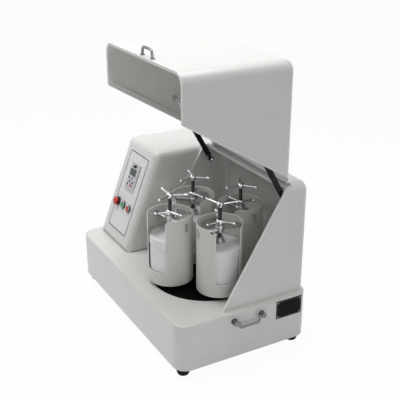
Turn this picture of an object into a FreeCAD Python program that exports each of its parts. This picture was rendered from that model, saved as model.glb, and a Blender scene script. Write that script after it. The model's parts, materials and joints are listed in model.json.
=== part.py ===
import FreeCAD, Part
import math
import os
import re

import Sketcher
from FreeCAD import Placement, Rotation, Vector

# Planetary ball mill: four pots on a turntable under a hinged hood, with a control console beside it.
# Millimetres. X to the right, Y to the back, Z up. The origin is on the floor under the middle of the base.
# The hood is drawn shut and then turned open about its hinge, which is how the mill stands at rest.

SIZES = {
    # base cabinet
    "baseLength": 750, "baseDepth": 454, "baseHeight": 151, "baseCorner": 43, "baseEdge": 4,
    "sheetWall": 2, "chassisPlate": 3,
    "footRadius": 21, "footHeight": 30, "footTaper": 4, "footInsetX": 39, "footInsetY": 33,
    "ventWidth": 5, "ventHeight": 50, "ventPitch": 14, "ventFloor": 40, "overrun": 20,
    # hood, shared by the fixed chamber and the lid
    "hoodInset": 19, "hoodBackInset": 2, "hoodWidth": 486, "hoodHeight": 359, "hoodCorner": 34,
    "hoodSkin": 2, "rimThickness": 8, "rimWidth": 15,
    "splitFoot": 155, "splitTop": 17.5, "ledgeDrop": 11, "lidGap": 3, "lidFootGap": 2,
    # hood hinge
    "hingeFromBack": 69, "knuckleRadius": 4, "hingePinRadius": 1.5, "leafThickness": 1.5, "leafLap": 0.5,
    "leafDepth": 8, "knuckleLength": 40, "knuckles": 11, "knuckleGap": 0.5, "leafGap": 0.3,
    # running fits and small gaps
    "runningFit": 0.05, "seatGap": 0.3, "pivotGap": 0.5,
    # gas struts
    "strutFromWall": 21, "strutFootAhead": 3, "strutFootDrop": 64, "strutHeadBack": 130, "strutHeadRise": 159,
    "strutTubeRadius": 8.8, "strutBore": 7, "strutRodRadius": 4, "strutTubeStart": 18, "strutTubeLength": 140,
    "strutGland": 8, "strutEnd": 4, "strutPiston": 8, "strutPistonPlay": 0.1, "strutRodOut": 2,
    "eyeRadius": 8, "eyeWidth": 10,
    "studRadius": 4, "studWasherRadius": 9, "studWasher": 3, "studHeadRadius": 6.5, "studHead": 3,
    # lid handle
    "lidHandleX": -20, "lidHandleUp": 12, "lidHandleSpan": 64, "lidHandleReach": 24, "lidHandleRadius": 4,
    "lidHandleLean": 4, "lidHandleBend": 12, "lidHandleFoot": 6.5, "lidHandleFootHeight": 3,
    # turntable and drive
    "turntableX": 120, "turntableY": 4, "turntableRadius": 173, "turntableThickness": 12, "turntableGap": 3,
    "shaftRadius": 17.5, "shaftHubRadius": 45, "shaftHub": 10, "shaftTail": 4,
    "frameHeight": 44, "framePlate": 8, "frameWidth": 230, "frameMotorEnd": 95, "frameShaftEnd": 130,
    "frameLeg": 20, "frameShaftHole": 22,
    "housingFlangeRadius": 60, "housingFlange": 10, "housingRadius": 40, "housingHeight": 40,
    "bearingOuter": 31, "bearingWidth": 14,
    "gearModule": 3, "sunTeeth": 52, "planetTeeth": 26, "gearWidth": 15, "sunBore": 24, "gearBacklash": 0.3,
    "planetShaftRadius": 12.5, "planetTail": 2, "planetHole": 15.5, "planetFlangeRadius": 45, "planetFlange": 7,
    "planetHousingRadius": 30, "planetHousingFlange": 38, "planetHousingLip": 8, "planetHousingHeight": 27,
    "planetBearingOuter": 26, "planetBearing": 15, "planetBearingUp": 4,
    "drivenPitch": 76, "motorPitch": 38, "beltThickness": 8, "beltWidth": 13, "pulleyFlange": 4,
    "pulleyClearance": 0.5, "pulleyUp": 12,
    "motorX": -245, "motorY": 30, "motorRadius": 65, "motorLength": 180, "motorFlange": 150,
    "motorFlangeThickness": 10, "motorFlangeCorner": 12, "motorShaftRadius": 9.5, "motorShaftInside": 38,
    "motorShaftTail": 2, "motorShaftHole": 14, "motorCowl": 38, "motorCowlStep": 1.5, "motorFins": 24,
    "motorFinDepth": 4, "motorFinWidth": 3, "motorBoxLength": 80, "motorBoxDepth": 30, "motorBoxHeight": 56,
    "motorBoxUp": 80,
    # pot stations
    "potPhase": 261.2, "potLift": 13, "sleeveRadius": 70.5, "sleeveWall": 2, "sleeveFloor": 4,
    "sleeveHeight": 219, "windowAngle": 35, "windowSill": 41, "windowCorner": 12, "windowBand": 16, "wallCorner": 12,
    "slotWidth": 20, "slotHeight": 14, "slotBelowRim": 16,
    "jarRadius": 64, "jarWall": 10, "jarHeadroom": 68, "jarLidRadius": 66, "jarLid": 26, "jarPlug": 8,
    "jarPlugPlay": 0.5, "jarLidEdge": 3,
    "yokeHalfLength": 73, "yokeWidth": 18, "yokeHeight": 12, "yokeBossRadius": 14, "yokeBossDrop": 4,
    "yokeBossRise": 9, "clipWidth": 14, "clipThickness": 2, "clipDrop": 17,
    "padRadius": 16, "padDisc": 10, "padCollarRadius": 11, "padCollar": 10, "padGap": 0.1, "padSocket": 8,
    "screwRadius": 6, "screwLength": 103, "starHubRadius": 11, "starHub": 20, "lockHubRadius": 12, "lockHub": 16,
    "starArmRadius": 3.5, "starReach": 52, "lockReach": 46, "starKnobRadius": 5.5,
    # console
    "consoleGap": 3, "consoleSetback": 61, "consoleHeight": 337, "consoleLean": 21.2, "consoleEdge": 25,
    "consoleChin": 14, "consoleLip": 26,
    "panelWidth": 140, "panelHeight": 282, "panelThickness": 1.5, "panelUp": 45, "panelX": 48,
    "panelCorner": 3, "panelScrewInset": 5, "panelScrewRadius": 2.5, "panelScrewHead": 1.5,
    "keypadWidth": 63, "keypadHeight": 98, "keypadX": 88, "keypadUp": 193, "keypadProud": 3,
    "keypadBody": 18, "keypadLip": 3, "lensWidth": 45, "lensHeight": 24, "lensUp": 53, "lensX": 3,
    "lensSink": 1, "knobX": 33, "knobUp": 88, "knobRadius": 5, "knobHeight": 8, "knobStem": 2.5,
    "knobStemDepth": 6,
    "switchUp": 138, "switchFirstX": 71, "switchPitch": 43, "bezelRadius": 13, "bezelHeight": 6,
    "switchBarrel": 10.9, "switchPlay": 0.2, "switchDepth": 25, "switchFloor": 5, "plungerRadius": 9.5, "plungerTail": 12,
    "plungerProud": 2, "stopCollarRadius": 15.5, "stopCollar": 5, "stopStemRadius": 8, "stopHeadRadius": 14,
    "stopHead": 8, "stopHeadEdge": 3, "stopTravel": 4.5,
    "inverterWidth": 110, "inverterDepth": 85, "inverterHeight": 150, "inverterDrop": 25, "inverterEdge": 4,
    "inletWidth": 50, "inletHeight": 30, "inletFlange": 2, "inletBody": 25, "inletLip": 2, "inletCavity": 18,
    "inletCavityWidth": 27, "inletCavityHeight": 18, "inletUp": 62, "inletPinWidth": 2, "inletPinHeight": 4,
    "inletPinPitch": 7, "inletPinLength": 14,
    # what is fixed on the outside and the walls
    "plateWidth": 92, "plateHeight": 60, "plateThickness": 1, "plateFromBack": 75.5, "plateDrop": 5.5,
    "bailSpan": 96, "bailY": 4, "bailUp": 123, "bailDrop": 20, "bailStandoff": 11, "bailRadius": 3.75,
    "bailPinRadius": 2.5, "bailPinDepth": 6, "bailCorner": 8, "rosetteRadius": 8, "rosetteDepth": 17,
    "rosetteFoot": 10.5, "rosetteFootDepth": 2,
    "interlockWidth": 16, "interlockDepth": 30, "interlockHeight": 50, "interlockUp": 32, "interlockGap": 0.5,
    "bottomScrewInset": 14, "bottomScrewRadius": 5, "bottomScrewHead": 3,
    "flangeScrewCircle": 50, "flangeScrewRadius": 5, "flangeScrewHead": 5,
}

doc = FreeCAD.newDocument("planetaryBallMill")
sheet = doc.addObject("Spreadsheet::Sheet", "sizes")
for row, (alias, value) in enumerate(SIZES.items(), 1):
    sheet.set(f"A{row}", alias)
    sheet.set(f"B{row}", str(value))
    sheet.setAlias(f"B{row}", alias)
doc.recompute()

nodes = []


def size(alias):
    return float(sheet.get(alias))


def bound(text):
    # the words of an expression are cells of the sheet, apart from the functions
    functions = ("sin", "cos", "tan", "sqrt")
    return re.sub(r"[a-zA-Z]\w*", lambda m: m[0] if m[0] in functions else "sizes." + m[0], text)


def bind(thing, **expressions):
    for name, text in expressions.items():
        thing.setExpression(name, bound(text))


def place(thing, x="0", y="0", z="0", rotation=None):
    if rotation:
        thing.Placement.Rotation = rotation
    for name, text in (("x", x), ("y", y), ("z", z)):
        if text != "0":
            thing.setExpression(f"Placement.Base.{name}", bound(text))
    return thing


def add(kind, name):
    return doc.addObject(kind, name)


def box(name, length, width, height, x="0", y="0", z="0", rotation=None):
    made = add("Part::Box", name)
    bind(made, Length=length, Width=width, Height=height)
    return place(made, x, y, z, rotation)


def cylinder(name, radius, height, x="0", y="0", z="0", rotation=None):
    made = add("Part::Cylinder", name)
    bind(made, Radius=radius, Height=height)
    return place(made, x, y, z, rotation)


def fuse(name, *shapes):
    made = add("Part::MultiFuse", name)
    made.Shapes = shapes
    return made


def cut(name, body, *tools):
    made = add("Part::Cut", name)
    made.Base = body
    made.Tool = tools[0] if len(tools) == 1 else fuse(name + "Tools", *tools)
    return made


def common(name, *shapes):
    made = add("Part::MultiCommon", name)
    made.Shapes = shapes
    return made


def group(name, *shapes):
    made = add("Part::Compound", name)
    made.Links = shapes
    return made


def feature(name, shape):
    made = add("Part::Feature", name)
    made.Shape = shape
    return made


def rounded(name, body, radius, pick):
    doc.recompute()
    made = add("Part::Fillet", name)
    made.Base = body
    made.Edges = [(i, radius, radius) for i, edge in enumerate(body.Shape.Edges, 1) if pick(edge)]
    return made


def upright(edge):
    return edge.BoundBox.XLength + edge.BoundBox.YLength < size("runningFit") < edge.BoundBox.ZLength


def highest(body):
    top = body.Shape.BoundBox.ZMax - size("runningFit")
    return lambda edge: edge.BoundBox.ZMin > top


ACROSS = Rotation(Vector(1, 1, 1), 120)  # turns X to Y, Y to Z and Z to X
STANDING = Rotation(Vector(1, 0, 0), 90)  # turns Y to Z


def outline(name, points, rotation=None):
    # a closed sketch whose corners are all dimensioned from its origin
    made = add("Sketcher::SketchObject", name)
    count = len(points)
    start = [Vector(math.cos(2 * math.pi * i / count), math.sin(2 * math.pi * i / count), 0) * size("baseLength")
             for i in range(count)]
    for i in range(count):
        made.addGeometry(Part.LineSegment(start[i], start[(i + 1) % count]))
    for i in range(count):
        made.addConstraint(Sketcher.Constraint("Coincident", i, 2, (i + 1) % count, 1))
    for i, corner in enumerate(points):
        for letter, kind, axis, text, now in zip("xy", ("DistanceX", "DistanceY"), (-2, -1), corner, start[i]):
            if text == "0":
                made.addConstraint(Sketcher.Constraint("PointOnObject", i, 1, axis))
                continue
            index = made.addConstraint(Sketcher.Constraint(kind, -1, 1, i, 1, now))
            made.renameConstraint(index, f"{letter}{i}")
            made.setExpression(f"Constraints.{letter}{i}", bound(text))
    if rotation:
        made.Placement.Rotation = rotation
    return made


def prism(name, points, length, x="0"):
    # an outline in Y and Z, drawn out along X
    made = add("Part::Extrusion", name)
    made.Base = place(outline(name + "Outline", points, ACROSS), x)
    made.DirMode = "Custom"
    made.Dir = Vector(1, 0, 0)
    made.Solid = True
    bind(made, LengthFwd=length)
    return made


def turned(name, points, x="0", y="0", z="0", rotation=None):
    # an outline in radius and height, turned about its upright axis
    made = add("Part::Revolution", name)
    made.Source = outline(name + "Outline", points, STANDING)
    made.Axis = Vector(0, 0, 1)
    made.Solid = True
    return place(made, x, y, z, rotation)


def ring(name, inner, outer, height, x="0", y="0", z="0", rotation=None):
    points = [(inner, "0"), (outer, "0"), (outer, height), (inner, height)]
    return turned(name, points, x, y, z, rotation)


def node(label, thing):
    thing.Label = label
    nodes.append(thing)
    return thing


# Places that several pieces share
BASE_TOP = "(footHeight + baseHeight)"
HOOD_RIGHT = "(baseLength / 2 - hoodInset)"
HOOD_LEFT = f"({HOOD_RIGHT} - hoodWidth)"
HOOD_FRONT = "(hoodInset - baseDepth / 2)"
HOOD_BACK = "(baseDepth / 2 - hoodBackInset)"
HOOD_TOP = f"({BASE_TOP} + hoodHeight)"
HINGE_Y = f"({HOOD_BACK} - hingeFromBack)"
STEP_Y = f"({HINGE_Y} + knuckleRadius + leafThickness)"
LEDGE_Z = f"({HOOD_TOP} - ledgeDrop)"
SPLIT_FOOT_Y = "(splitFoot - baseDepth / 2)"
SPLIT_TOP_Y = f"({HINGE_Y} - splitTop)"
FRAME_TOP = "(footHeight + chassisPlate + frameHeight + framePlate)"
GEAR_Z = f"({FRAME_TOP} + housingHeight)"
PULLEY_Z = "(footHeight + chassisPlate + pulleyUp)"
PULLEY_HEIGHT = "(beltWidth + 2 * pulleyClearance + 2 * pulleyFlange)"
DISC_Z = f"({BASE_TOP} - turntableThickness)"
POT_Z = f"({BASE_TOP} + potLift)"
CONSOLE_LEFT = "(hoodInset - baseLength / 2)"
CONSOLE_RIGHT = f"({HOOD_LEFT} - consoleGap)"
CONSOLE_FOOT = "(consoleSetback - baseDepth / 2)"
POT_CIRCLE = "(gearModule * (sunTeeth + planetTeeth) / 2)"

baseTop = size("footHeight") + size("baseHeight")
hoodBack = size("baseDepth") / 2 - size("hoodBackInset")
hingeY = hoodBack - size("hingeFromBack")
hingeZ = baseTop + size("hoodHeight")
hoodRight = size("baseLength") / 2 - size("hoodInset")
hoodLeft = hoodRight - size("hoodWidth")


# Base cabinet
def baseBlock(name, inset, height, z):
    block = box(name + "Box", f"baseLength - 2 * ({inset})", f"baseDepth - 2 * ({inset})", height,
                f"{inset} - baseLength / 2", f"{inset} - baseDepth / 2", z)
    return rounded(name, block, size("baseCorner") - (size("sheetWall") if inset != "0" else 0), upright)


def baseShell():
    block = baseBlock("baseOuter", "0", "baseHeight", "footHeight")
    doc.recompute()
    block = rounded("baseOuterEdges", block, size("baseEdge"), highest(block))
    inside = baseBlock("baseInner", "sheetWall", "baseHeight - sheetWall + overrun", "footHeight - overrun")
    well = cylinder("turntableWell", "turntableRadius + turntableGap", "2 * overrun",
                    "turntableX", "turntableY", f"{BASE_TOP} - overrun")
    service = box("serviceOpening", f"{CONSOLE_RIGHT} - {CONSOLE_LEFT} - 2 * consoleLip",
                  f"{HOOD_BACK} - {CONSOLE_FOOT} - 2 * consoleLip", "2 * overrun",
                  f"{CONSOLE_LEFT} + consoleLip", f"{CONSOLE_FOOT} + consoleLip", f"{BASE_TOP} - overrun")
    slots = []
    slotCount = 9
    for i in range(slotCount):
        step = i - (slotCount - 1) / 2
        slots.append(box(f"baseVent{i}", "ventWidth", "2 * overrun", "ventHeight",
                         f"motorX - ventWidth / 2 + {step} * ventPitch", "baseDepth / 2 - overrun",
                         "footHeight + ventFloor"))
    return cut("baseShell", block, inside, well, service, *slots)


def feet():
    made = []
    for i, (sx, sy) in enumerate(((-1, -1), (1, -1), (1, 1), (-1, 1))):
        foot = add("Part::Cone", f"foot{i}")
        bind(foot, Radius1="footRadius - footTaper", Radius2="footRadius", Height="footHeight")
        made.append(place(foot, f"{sx} * (baseLength / 2 - footInsetX)", f"{sy} * (baseDepth / 2 - footInsetY)"))
    return group("feet", *made)


node("base_shell", baseShell())
node("base_plate", baseBlock("basePlate", "sheetWall", "chassisPlate", "footHeight"))
node("feet", feet())


# Drive frame: a plate on legs that carries the motor and the main bearings
def driveFrame():
    left = "(motorX - frameMotorEnd)"
    front = "(turntableY - frameWidth / 2)"
    length = "(turntableX + frameShaftEnd - motorX + frameMotorEnd)"
    plate = box("framePlateBox", length, "frameWidth", "framePlate", left, front, f"{FRAME_TOP} - framePlate")
    legs = []
    for i, share in enumerate((0, 0.5, 1)):
        for j, side in enumerate((0, 1)):
            legs.append(box(f"frameLeg{i}{j}", "frameLeg", "frameLeg", "frameHeight",
                            f"{left} + {share} * ({length} - frameLeg)", f"{front} + {side} * (frameWidth - frameLeg)",
                            "footHeight + chassisPlate"))
    shaftHole = cylinder("frameShaftBore", "frameShaftHole", "framePlate + 2 * overrun",
                         "turntableX", "turntableY", f"{FRAME_TOP} - framePlate - overrun")
    motorHole = cylinder("frameMotorBore", "motorShaftHole", "framePlate + 2 * overrun",
                         "motorX", "motorY", f"{FRAME_TOP} - framePlate - overrun")
    return cut("driveFrame", fuse("frameWeldment", plate, *legs), shaftHole, motorHole)


def bearingHousing():
    shell = turned("housingShell", [
        ("bearingOuter", "0"), ("housingFlangeRadius", "0"), ("housingFlangeRadius", "housingFlange"),
        ("housingRadius", "housingFlange"), ("housingRadius", "housingHeight"), ("bearingOuter", "housingHeight"),
    ], "turntableX", "turntableY", FRAME_TOP)
    bearings = [
        ring(f"mainBearing{i}", "shaftRadius + runningFit", "bearingOuter", "bearingWidth",
             "turntableX", "turntableY", f"{FRAME_TOP} + {i} * (housingHeight - bearingWidth)")
        for i in (0, 1)
    ]
    return group("bearingHousing", shell, *bearings)


def motor():
    flange = rounded("motorFlangeRound", box("motorFlangeBox", "motorFlange", "motorFlange", "motorFlangeThickness",
                     "motorX - motorFlange / 2", "motorY - motorFlange / 2", FRAME_TOP),
                     size("motorFlangeCorner"), upright)
    barrel = cylinder("motorBarrel", "motorRadius - motorFinDepth", "motorLength",
                      "motorX", "motorY", f"{FRAME_TOP} + motorFlangeThickness")
    cowl = cylinder("motorCowlCan", "motorRadius + motorCowlStep", "motorCowl",
                    "motorX", "motorY", f"{FRAME_TOP} + motorFlangeThickness + motorLength")
    terminals = box("motorTerminals", "motorBoxLength", "motorBoxDepth + motorRadius", "motorBoxHeight",
                    "motorX - motorBoxLength / 2", "motorY", f"{FRAME_TOP} + motorBoxUp")
    fins = []
    count = int(size("motorFins"))
    for i in range(count):
        fin = Part.makeBox(size("motorRadius"), size("motorFinWidth"), size("motorLength"),
                           Vector(0, -size("motorFinWidth") / 2, 0))
        fin.rotate(Vector(), Vector(0, 0, 1), 360 * i / count)
        fins.append(fin)
    finned = place(feature("motorFinSet", fins[0].fuse(fins[1:])), "motorX", "motorY",
                   f"{FRAME_TOP} + motorFlangeThickness")
    bore = cylinder("motorBore", "motorShaftRadius + runningFit", "motorShaftInside + overrun",
                    "motorX", "motorY", f"{FRAME_TOP} - overrun")
    return cut("motor", fuse("motorSolid", flange, barrel, cowl, terminals, finned), bore)


def pulley(name, pitch, bore, x, y):
    root = f"({pitch} - beltThickness / 2 - seatGap)"
    crown = f"({pitch} + beltThickness / 2)"
    return turned(name, [
        (bore, "0"), (crown, "0"), (crown, "pulleyFlange"), (root, "pulleyFlange"),
        (root, f"{PULLEY_HEIGHT} - pulleyFlange"), (crown, f"{PULLEY_HEIGHT} - pulleyFlange"),
        (crown, PULLEY_HEIGHT), (bore, PULLEY_HEIGHT),
    ], x, y, PULLEY_Z)


def beltLoop(radiusShift):
    # the closed line round both pulleys: two tangent runs and two arcs
    small = Vector(size("motorX"), size("motorY"), 0)
    large = Vector(size("turntableX"), size("turntableY"), 0)
    smallRadius = size("motorPitch") + radiusShift
    largeRadius = size("drivenPitch") + radiusShift
    span = large - small
    heading = math.atan2(span.y, span.x)
    spread = math.acos((smallRadius - largeRadius) / span.Length)

    def at(centre, radius, angle):
        return centre + Vector(math.cos(angle), math.sin(angle), 0) * radius

    upper, lower = heading + spread, heading - spread
    edges = [
        Part.LineSegment(at(small, smallRadius, upper), at(large, largeRadius, upper)),
        Part.Arc(at(large, largeRadius, upper), at(large, largeRadius, heading), at(large, largeRadius, lower)),
        Part.LineSegment(at(large, largeRadius, lower), at(small, smallRadius, lower)),
        Part.Arc(at(small, smallRadius, lower), at(small, smallRadius, heading + math.pi),
                 at(small, smallRadius, upper)),
    ]
    return Part.Face(Part.Wire([edge.toShape() for edge in edges]))


def belt():
    half = size("beltThickness") / 2
    loop = beltLoop(half).cut(beltLoop(-half)).extrude(Vector(0, 0, size("beltWidth")))
    return place(feature("belt", loop), z=f"{PULLEY_Z} + pulleyFlange + pulleyClearance")


def gearShape(teeth, turn):
    # an involute gear: each flank is an arc through three points of the involute
    module = size("gearModule")
    pitchRadius = module * teeth / 2
    baseRadius = pitchRadius * math.cos(math.radians(20))
    rootRadius = pitchRadius - 1.25 * module
    tipRadius = pitchRadius + module

    def involute(radius):
        roll = math.sqrt(max((radius / baseRadius) ** 2 - 1, 0))
        return roll - math.atan(roll)

    halfTooth = math.pi / (2 * teeth) - size("gearBacklash") / (2 * pitchRadius) + involute(pitchRadius)

    def at(radius, angle):
        return Vector(math.cos(angle) * radius, math.sin(angle) * radius, 0)

    edges = []
    low = max(baseRadius, rootRadius)
    middle = (low + tipRadius) / 2
    for i in range(teeth):
        centre = turn + 2 * math.pi * i / teeth
        flank = [(radius, halfTooth - involute(radius)) for radius in (low, middle, tipRadius)]
        rising = [at(radius, centre - angle) for radius, angle in flank]
        falling = [at(radius, centre + angle) for radius, angle in reversed(flank)]
        rootStart, rootEnd = at(rootRadius, centre - flank[0][1]), at(rootRadius, centre + flank[0][1])
        following = centre + 2 * math.pi / teeth
        nextRoot = at(rootRadius, following - flank[0][1])
        valley = at(rootRadius, centre + math.pi / teeth)
        if low > rootRadius:
            edges.append(Part.LineSegment(rootStart, rising[0]).toShape())
        edges.append(Part.Arc(*rising).toShape())
        edges.append(Part.Arc(rising[-1], at(tipRadius, centre), falling[0]).toShape())
        edges.append(Part.Arc(*falling).toShape())
        if low > rootRadius:
            edges.append(Part.LineSegment(falling[-1], rootEnd).toShape())
        edges.append(Part.Arc(rootEnd, valley, nextRoot).toShape())
    return Part.Face(Part.Wire(edges)).extrude(Vector(0, 0, size("gearWidth")))


def sunGear():
    phase = math.radians(size("potPhase"))
    blank = place(feature("sunBlank", gearShape(int(size("sunTeeth")), phase)), "turntableX", "turntableY", GEAR_Z)
    bore = cylinder("sunBoreTool", "sunBore", "gearWidth + 2 * overrun",
                    "turntableX", "turntableY", f"{GEAR_Z} - overrun")
    return cut("sunGear", blank, bore)


node("drive_frame", driveFrame())
node("bearing_housing", bearingHousing())
node("sun_gear", sunGear())
node("motor", motor())
node("drive_belt", belt())


# Turntable, its shaft and the bearings that hang under it
def potPlace(i):
    angle = f"(potPhase + {90 * i})"
    return f"turntableX + {POT_CIRCLE} * cos{angle}", f"turntableY + {POT_CIRCLE} * sin{angle}"


def turntableDisc():
    disc = cylinder("discBlank", "turntableRadius", "turntableThickness", "turntableX", "turntableY", DISC_Z)
    holes = [cylinder(f"discHole{i}", "planetHole", "turntableThickness + 2 * overrun", *potPlace(i),
                      f"{DISC_Z} - overrun") for i in range(4)]
    return cut("turntableDisc", disc, *holes)


def mainShaft():
    foot = f"({PULLEY_Z} - shaftTail)"
    length = f"({DISC_Z} - {foot})"
    return turned("mainShaft", [
        ("0", "0"), ("shaftRadius", "0"), ("shaftRadius", f"{length} - shaftHub"),
        ("shaftHubRadius", f"{length} - shaftHub"), ("shaftHubRadius", length), ("0", length),
    ], "turntableX", "turntableY", foot)


def planetBearings():
    made = []
    for i in range(4):
        foot = f"({DISC_Z} - planetHousingHeight)"
        made.append(turned(f"planetHousing{i}", [
            ("planetBearingOuter", "0"), ("planetHousingRadius", "0"),
            ("planetHousingRadius", "planetHousingHeight - planetHousingLip"),
            ("planetHousingFlange", "planetHousingHeight - planetHousingLip"),
            ("planetHousingFlange", "planetHousingHeight"), ("planetBearingOuter", "planetHousingHeight"),
        ], *potPlace(i), foot))
        made.append(ring(f"planetBearing{i}", "planetShaftRadius + runningFit", "planetBearingOuter",
                         "planetBearing", *potPlace(i), f"{foot} + planetBearingUp"))
    return group("planetBearings", *made)


node("turntable_disc", turntableDisc())
node("main_shaft", mainShaft())
node("driven_pulley", pulley("drivenPulley", "drivenPitch", "shaftRadius", "turntableX", "turntableY"))
node("planet_bearings", planetBearings())
node("motor_pulley", group(
    "motorRotor",
    pulley("motorPulley", "motorPitch", "motorShaftRadius", "motorX", "motorY"),
    cylinder("motorShaft", "motorShaftRadius", f"{FRAME_TOP} + motorShaftInside - {PULLEY_Z}",
             "motorX", "motorY", f"{PULLEY_Z} - motorShaftTail")))


# Pot stations: sleeve on its planet shaft, jar, yoke and the two-star clamp screw
YOKE_TURNS = (16, 85, 7, 45)
STAR_TURNS = (58, 77, 34, 47)
LOCK_TURNS = (20, 38, 75, 12)


def stationed(thing, i, turn=0, z=POT_Z):
    return place(thing, *potPlace(i), z, Rotation(Vector(0, 0, 1), turn))


def windowTool(name, height, outward):
    # the opening is cut square and its corners are round, seen from the side
    reach = "(sleeveRadius + overrun)"
    block = box(name + "Box", "2 * sleeveRadius * sin(windowAngle)", reach, height,
                "0 - sleeveRadius * sin(windowAngle)", "0" if outward > 0 else f"0 - {reach}", "windowSill")
    doc.recompute()
    return rounded(name, block, size("windowCorner"),
                   lambda edge: edge.BoundBox.XLength + edge.BoundBox.ZLength < size("runningFit"))


def wallCorner(name, side):
    # what comes off the wall beside the open window, so that its upper corner is round
    reach, foot = "(sleeveRadius + overrun)", "sleeveHeight - wallCorner"
    block = box(name + "Box", "wallCorner + overrun", reach, "wallCorner + overrun",
                "sleeveRadius * sin(windowAngle) - overrun" if side > 0
                else "0 - sleeveRadius * sin(windowAngle) - wallCorner", f"0 - {reach}", foot)
    middle = "sleeveRadius * sin(windowAngle) + wallCorner"
    peg = cylinder(name + "Peg", "wallCorner", f"{reach} + 2 * overrun", middle if side > 0 else f"0 - {middle}",
                   "overrun", foot, STANDING)
    return cut(name, block, peg)


def sleeve(i):
    can = turned(f"sleeveCan{i}", [
        ("0", "0"), ("sleeveRadius", "0"), ("sleeveRadius", "sleeveHeight"),
        ("sleeveRadius - sleeveWall", "sleeveHeight"), ("sleeveRadius - sleeveWall", "sleeveFloor"),
        ("0", "sleeveFloor"),
    ])
    near = windowTool(f"nearWindow{i}", "sleeveHeight - windowSill + overrun", -1)
    far = windowTool(f"farWindow{i}", "sleeveHeight - windowSill - windowBand", 1)
    corners = [wallCorner(f"wallCorner{i}{tag}", side) for tag, side in (("Left", -1), ("Right", 1))]
    slots = box(f"yokeSlots{i}", "2 * (sleeveRadius + overrun)", "slotWidth", "slotHeight",
                "0 - sleeveRadius - overrun", "0 - slotWidth / 2", "sleeveHeight - slotBelowRim - slotHeight")
    body = stationed(cut(f"sleeveBody{i}", can, near, far, slots, *corners), i, YOKE_TURNS[i])
    foot = f"({GEAR_Z} - planetTail)"
    length = f"({POT_Z} - {foot})"
    shaft = turned(f"planetShaft{i}", [
        ("0", "0"), ("planetShaftRadius", "0"), ("planetShaftRadius", f"{length} - planetFlange"),
        ("planetFlangeRadius", f"{length} - planetFlange"), ("planetFlangeRadius", length), ("0", length),
    ])
    return body, stationed(shaft, i, 0, foot)


def planetGear(i):
    # a gap faces the sun gear's tooth when the sun gear has a tooth on the line to this pot
    teeth = int(size("planetTeeth"))
    phase = math.radians(size("potPhase") + 90 * i) + math.pi / teeth
    blank = stationed(feature(f"planetBlank{i}", gearShape(teeth, phase)), i, 0, GEAR_Z)
    bore = stationed(cylinder(f"planetBore{i}", "planetShaftRadius", "gearWidth + 2 * overrun"), i, 0,
                     f"{GEAR_Z} - overrun")
    return cut(f"planetGear{i}", blank, bore)


# a jar with its cover stands in the sleeve with headroom for the yoke and the pad
JAR_BODY = "(sleeveHeight - sleeveFloor - jarLid - jarHeadroom)"


def jar(i):
    body = turned(f"jarBody{i}", [
        ("0", "0"), ("jarRadius", "0"), ("jarRadius", JAR_BODY), ("jarRadius - jarWall", JAR_BODY),
        ("jarRadius - jarWall", "jarWall"), ("0", "jarWall"),
    ])
    plug = "jarRadius - jarWall - jarPlugPlay"
    cover = turned(f"jarCover{i}", [
        ("0", f"{JAR_BODY} - jarPlug"), (plug, f"{JAR_BODY} - jarPlug"), (plug, JAR_BODY), ("jarLidRadius", JAR_BODY),
        ("jarLidRadius", f"{JAR_BODY} + jarLid - jarLidEdge"), ("jarLidRadius - jarLidEdge", f"{JAR_BODY} + jarLid"),
        ("0", f"{JAR_BODY} + jarLid"),
    ])
    floor = f"{POT_Z} + sleeveFloor"
    return group(f"jar{i}", stationed(body, i, 0, floor), stationed(cover, i, 0, floor))


YOKE_TOP = "(sleeveHeight - slotBelowRim)"


def yoke(i):
    bar = box(f"yokeBar{i}", "2 * yokeHalfLength", "yokeWidth", "yokeHeight",
              "0 - yokeHalfLength", "0 - yokeWidth / 2", f"{YOKE_TOP} - yokeHeight")
    ends = [box(f"yokeClip{i}{side}", "clipThickness", "clipWidth", "clipDrop + yokeHeight",
                "yokeHalfLength - clipThickness" if side else "0 - yokeHalfLength", "0 - clipWidth / 2",
                f"{YOKE_TOP} - yokeHeight - clipDrop") for side in (0, 1)]
    boss = cylinder(f"yokeBoss{i}", "yokeBossRadius", "yokeBossDrop + yokeHeight + yokeBossRise",
                    z=f"{YOKE_TOP} - yokeHeight - yokeBossDrop")
    bore = cylinder(f"yokeBore{i}", "screwRadius + runningFit", "sleeveHeight")
    return stationed(cut(f"yoke{i}", fuse(f"yokeSolid{i}", bar, boss, *ends), bore), i, YOKE_TURNS[i])


PAD_Z = f"(sleeveFloor + {JAR_BODY} + jarLid + padGap)"
LOCK_Z = f"({YOKE_TOP} + yokeBossRise + seatGap)"
SCREW_FOOT = f"({PAD_Z} + padDisc + padCollar - padSocket + seatGap)"


def pad(i):
    socket = f"({PAD_Z} + padDisc + padCollar - padSocket)"
    return stationed(turned(f"pad{i}", [
        ("0", PAD_Z), ("padRadius", PAD_Z), ("padRadius", f"{PAD_Z} + padDisc"),
        ("padCollarRadius", f"{PAD_Z} + padDisc"), ("padCollarRadius", f"{PAD_Z} + padDisc + padCollar"),
        ("screwRadius + runningFit", f"{PAD_Z} + padDisc + padCollar"), ("screwRadius + runningFit", socket),
        ("0", socket),
    ]), i)


def star(name, i, hubRadius, hub, reach, z, turn, bore):
    # a round hub with three ball-ended arms
    middle = size(hub) / 2
    body = Part.makeCylinder(size(hubRadius), size(hub))
    for k in range(3):
        arm = Part.makeCylinder(size("starArmRadius"), size(reach), Vector(0, 0, middle), Vector(1, 0, 0))
        knob = Part.makeSphere(size("starKnobRadius"), Vector(size(reach), 0, middle))
        limb = arm.fuse(knob)
        limb.rotate(Vector(), Vector(0, 0, 1), turn + 120 * k)
        body = body.fuse(limb)
    if bore:
        body = body.cut(Part.makeCylinder(size("screwRadius"), size(hub)))
    return stationed(feature(name, body), i, 0, f"{POT_Z} + {z}")


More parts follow.
